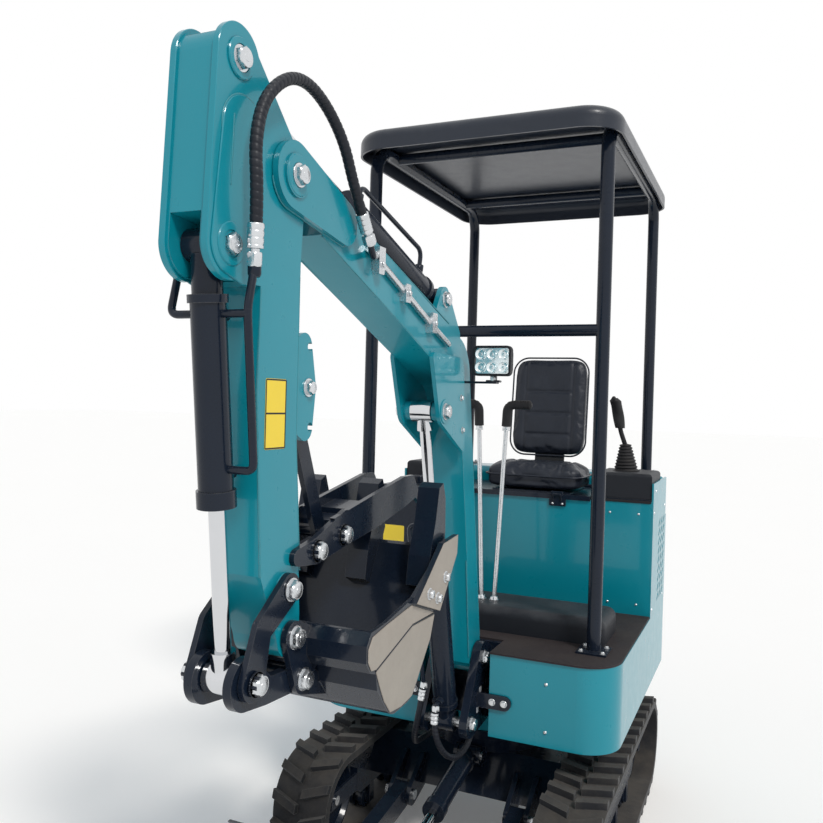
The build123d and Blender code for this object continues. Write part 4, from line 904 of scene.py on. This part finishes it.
def puffed(name, shell, body, hides, cap, keep_flat):
    """A stuffed form: remeshed at 5 mm, blown up as cloth for 20 frames, no point moved past the cap."""
    made = piece(name, [shell], VINYL, body, 180, hides)
    bpy.context.view_layer.objects.active = made
    remesh = made.modifiers.new("remesh", "REMESH")
    remesh.mode, remesh.voxel_size = "VOXEL", 0.005
    with bpy.context.temp_override(object=made, active_object=made):
        bpy.ops.object.modifier_apply(modifier="remesh")
    start = np.empty(len(made.data.vertices) * 3)
    made.data.vertices.foreach_get("co", start)
    start = start.reshape(-1, 3)
    cloth = made.modifiers.new("cloth", "CLOTH")
    cloth.settings.use_pressure = True
    cloth.settings.uniform_pressure_force = 4.0
    cloth.settings.effector_weights.gravity = 0.0
    for step in range(1, 21):
        bpy.context.scene.frame_set(step)
    seen = made.evaluated_get(bpy.context.evaluated_depsgraph_get()).to_mesh()
    blown = np.empty(len(seen.vertices) * 3)
    seen.vertices.foreach_get("co", blown)
    made.modifiers.remove(cloth)
    bpy.context.scene.frame_set(1)
    move = blown.reshape(-1, 3) - start
    far = np.linalg.norm(move, axis=1, keepdims=True)
    move *= np.minimum(1.0, cap / np.maximum(far, 1e-9))
    start = start + keep_flat(start, move)
    return made, start


def sewn(made, points, depth_at):
    """Channels sewn after the blowing: each point sinks by its depth along the piece's normal there."""
    made.data.vertices.foreach_set("co", points.ravel())
    made.data.update()
    normal = np.empty(len(points) * 3)
    made.data.vertices.foreach_get("normal", normal)
    sunk = points - normal.reshape(-1, 3) * depth_at(points, normal.reshape(-1, 3))[:, None]
    made.data.vertices.foreach_set("co", sunk.ravel())
    made.data.update()
    made.data.polygons.foreach_set("use_smooth", np.ones(len(made.data.polygons), bool))
    smooth = made.modifiers.new("smooth", "SUBSURF")
    smooth.levels = smooth.render_levels = 1


def groove(where, lines, width):
    """One at each line and falling away from it as a bell of the width."""
    return sum(np.exp(-(((where - line) / width) ** 2)) for line in lines)


def seat():
    low = row([(0, 0, 1097)])[0, 2]
    cushion, points = puffed("seat_cushion_sewn", pillow((30, 428, 1144), (186, 124, 42), 0.34), "seat",
                             ("seat_cushion",),
                             0.012, lambda p, m: m * np.clip((p[:, 2:] - low) / 0.03, 0, 1))
    x, y = row([(30, 428, 0)])[0, :2]

    def cushion_depth(p, n):
        panel = np.abs(p[:, 0] - x) < 0.112
        lines = groove(p[:, 0] - x, (-0.112, 0.112), 0.006) + groove(p[:, 1] - y, (-0.075, 0.055),
                                                                     0.006) * panel
        folds = 0.0012 * np.sin(p[:, 0] * 70 + 3 * np.sin(p[:, 1] * 38)) * np.sin(p[:, 1] * 55)
        return 0.006 * np.clip(lines, 0, 1) * np.clip(n[:, 2], 0, 1) + folds
    sewn(cushion, points, cushion_depth)
    lean = math.radians(6)
    back, points = puffed("seat_back_sewn", pillow((30, 567, 1409), (152, 25, 196), 0.30, -lean), "seat",
                          ("seat_back",),
                          0.008, lambda p, m: m)

    def back_depth(p, n):
        front = np.clip(-n[:, 1], 0, 1)
        panel = np.abs(p[:, 0] - x) < 0.095
        lines = groove(p[:, 0] - x, (-0.095, 0.095), 0.006) + groove(p[:, 2], (1.30, 1.385, 1.47),
                                                                     0.006) * panel
        folds = 0.0013 * np.sin(p[:, 2] * 45 + 3 * np.sin(p[:, 0] * 30)) * np.sin(p[:, 0] * 60)
        return 0.005 * np.clip(lines, 0, 1) * front + folds * front
    sewn(back, points, back_depth)


seat()


def piping():
    """Sewn welts: a cord of vinyl round the cushion's middle and round the back's front edge."""
    around = rounded(30, 428, 372, 248, 46, 14)
    low = swept(np.column_stack([around, np.full(len(around), 1150.0)]), 3.6, Z, 8, loop=True)
    up = unit((0, math.sin(math.radians(6)), math.cos(math.radians(6))))
    face = rounded(0, 0, 306, 392, 62, 14)
    centre = np.array([30, 567, 1409]) + np.array([0, -0.995, 0.1045]) * 17
    high = swept(centre + face[:, :1] * np.array(X) + face[:, 1:] * up, 3.4, (0, -0.995, 0.1045), 8,
                 loop=True)
    piece("seat_welts", [low, high], VINYL, "seat", 80)


piping()


# Floor, lamps and sky.
def studio():
    floor_mesh = bpy.data.meshes.new("floor")
    floor_mesh.from_pydata([(-50, -50, 0), (50, -50, 0), (50, 50, 0), (-50, 50, 0)], [], [(0, 1, 2, 3)])
    floor = bpy.data.objects.new("floor", floor_mesh)
    bpy.context.scene.collection.objects.link(floor)
    paper = bpy.data.materials.new("floor_paper")
    paper.use_nodes = True
    shader = paper.node_tree.nodes["Principled BSDF"]
    tone = mixed(paper.node_tree, noise(paper.node_tree, 0.8), (0.97, 0.93, 0.88, 1), (0.99, 0.95, 0.90, 1))
    paper.node_tree.links.new(tone, shader.inputs["Base Color"])
    shader.inputs["Roughness"].default_value = 0.9
    shader.inputs["Specular IOR Level"].default_value = 0.1
    shader.inputs["Emission Color"].default_value = (1, 1, 1, 1)
    shader.inputs["Emission Strength"].default_value = 0.10
    floor_mesh.materials.append(paper)
    sun = bpy.data.lights.new("key", "SUN")
    sun.energy, sun.angle, sun.color = 1.9, math.radians(12), (1.0, 0.975, 0.94)
    key = bpy.data.objects.new("key", sun)
    key.rotation_euler = Vector((0.70, -0.52, 0.86)).to_track_quat("Z", "Y").to_euler()
    bpy.context.scene.collection.objects.link(key)
    world = bpy.data.worlds.new("sky")
    bpy.context.scene.world = world
    world.use_nodes = True
    tree = world.node_tree
    back = tree.nodes["Background"]
    ray = node(tree, "LightPath").outputs
    seen = calc(tree, "MAXIMUM", calc(tree, "MAXIMUM", ray["Is Camera Ray"], ray["Is Glossy Ray"]),
                ray["Is Transmission Ray"])
    tree.links.new(mixed(tree, seen, (0.47, 0.52, 0.58, 1), (1, 1, 1, 1)), back.inputs["Color"])
    back.inputs["Strength"].default_value = 1.0
    bpy.context.scene.view_settings.view_transform = "Standard"


studio()
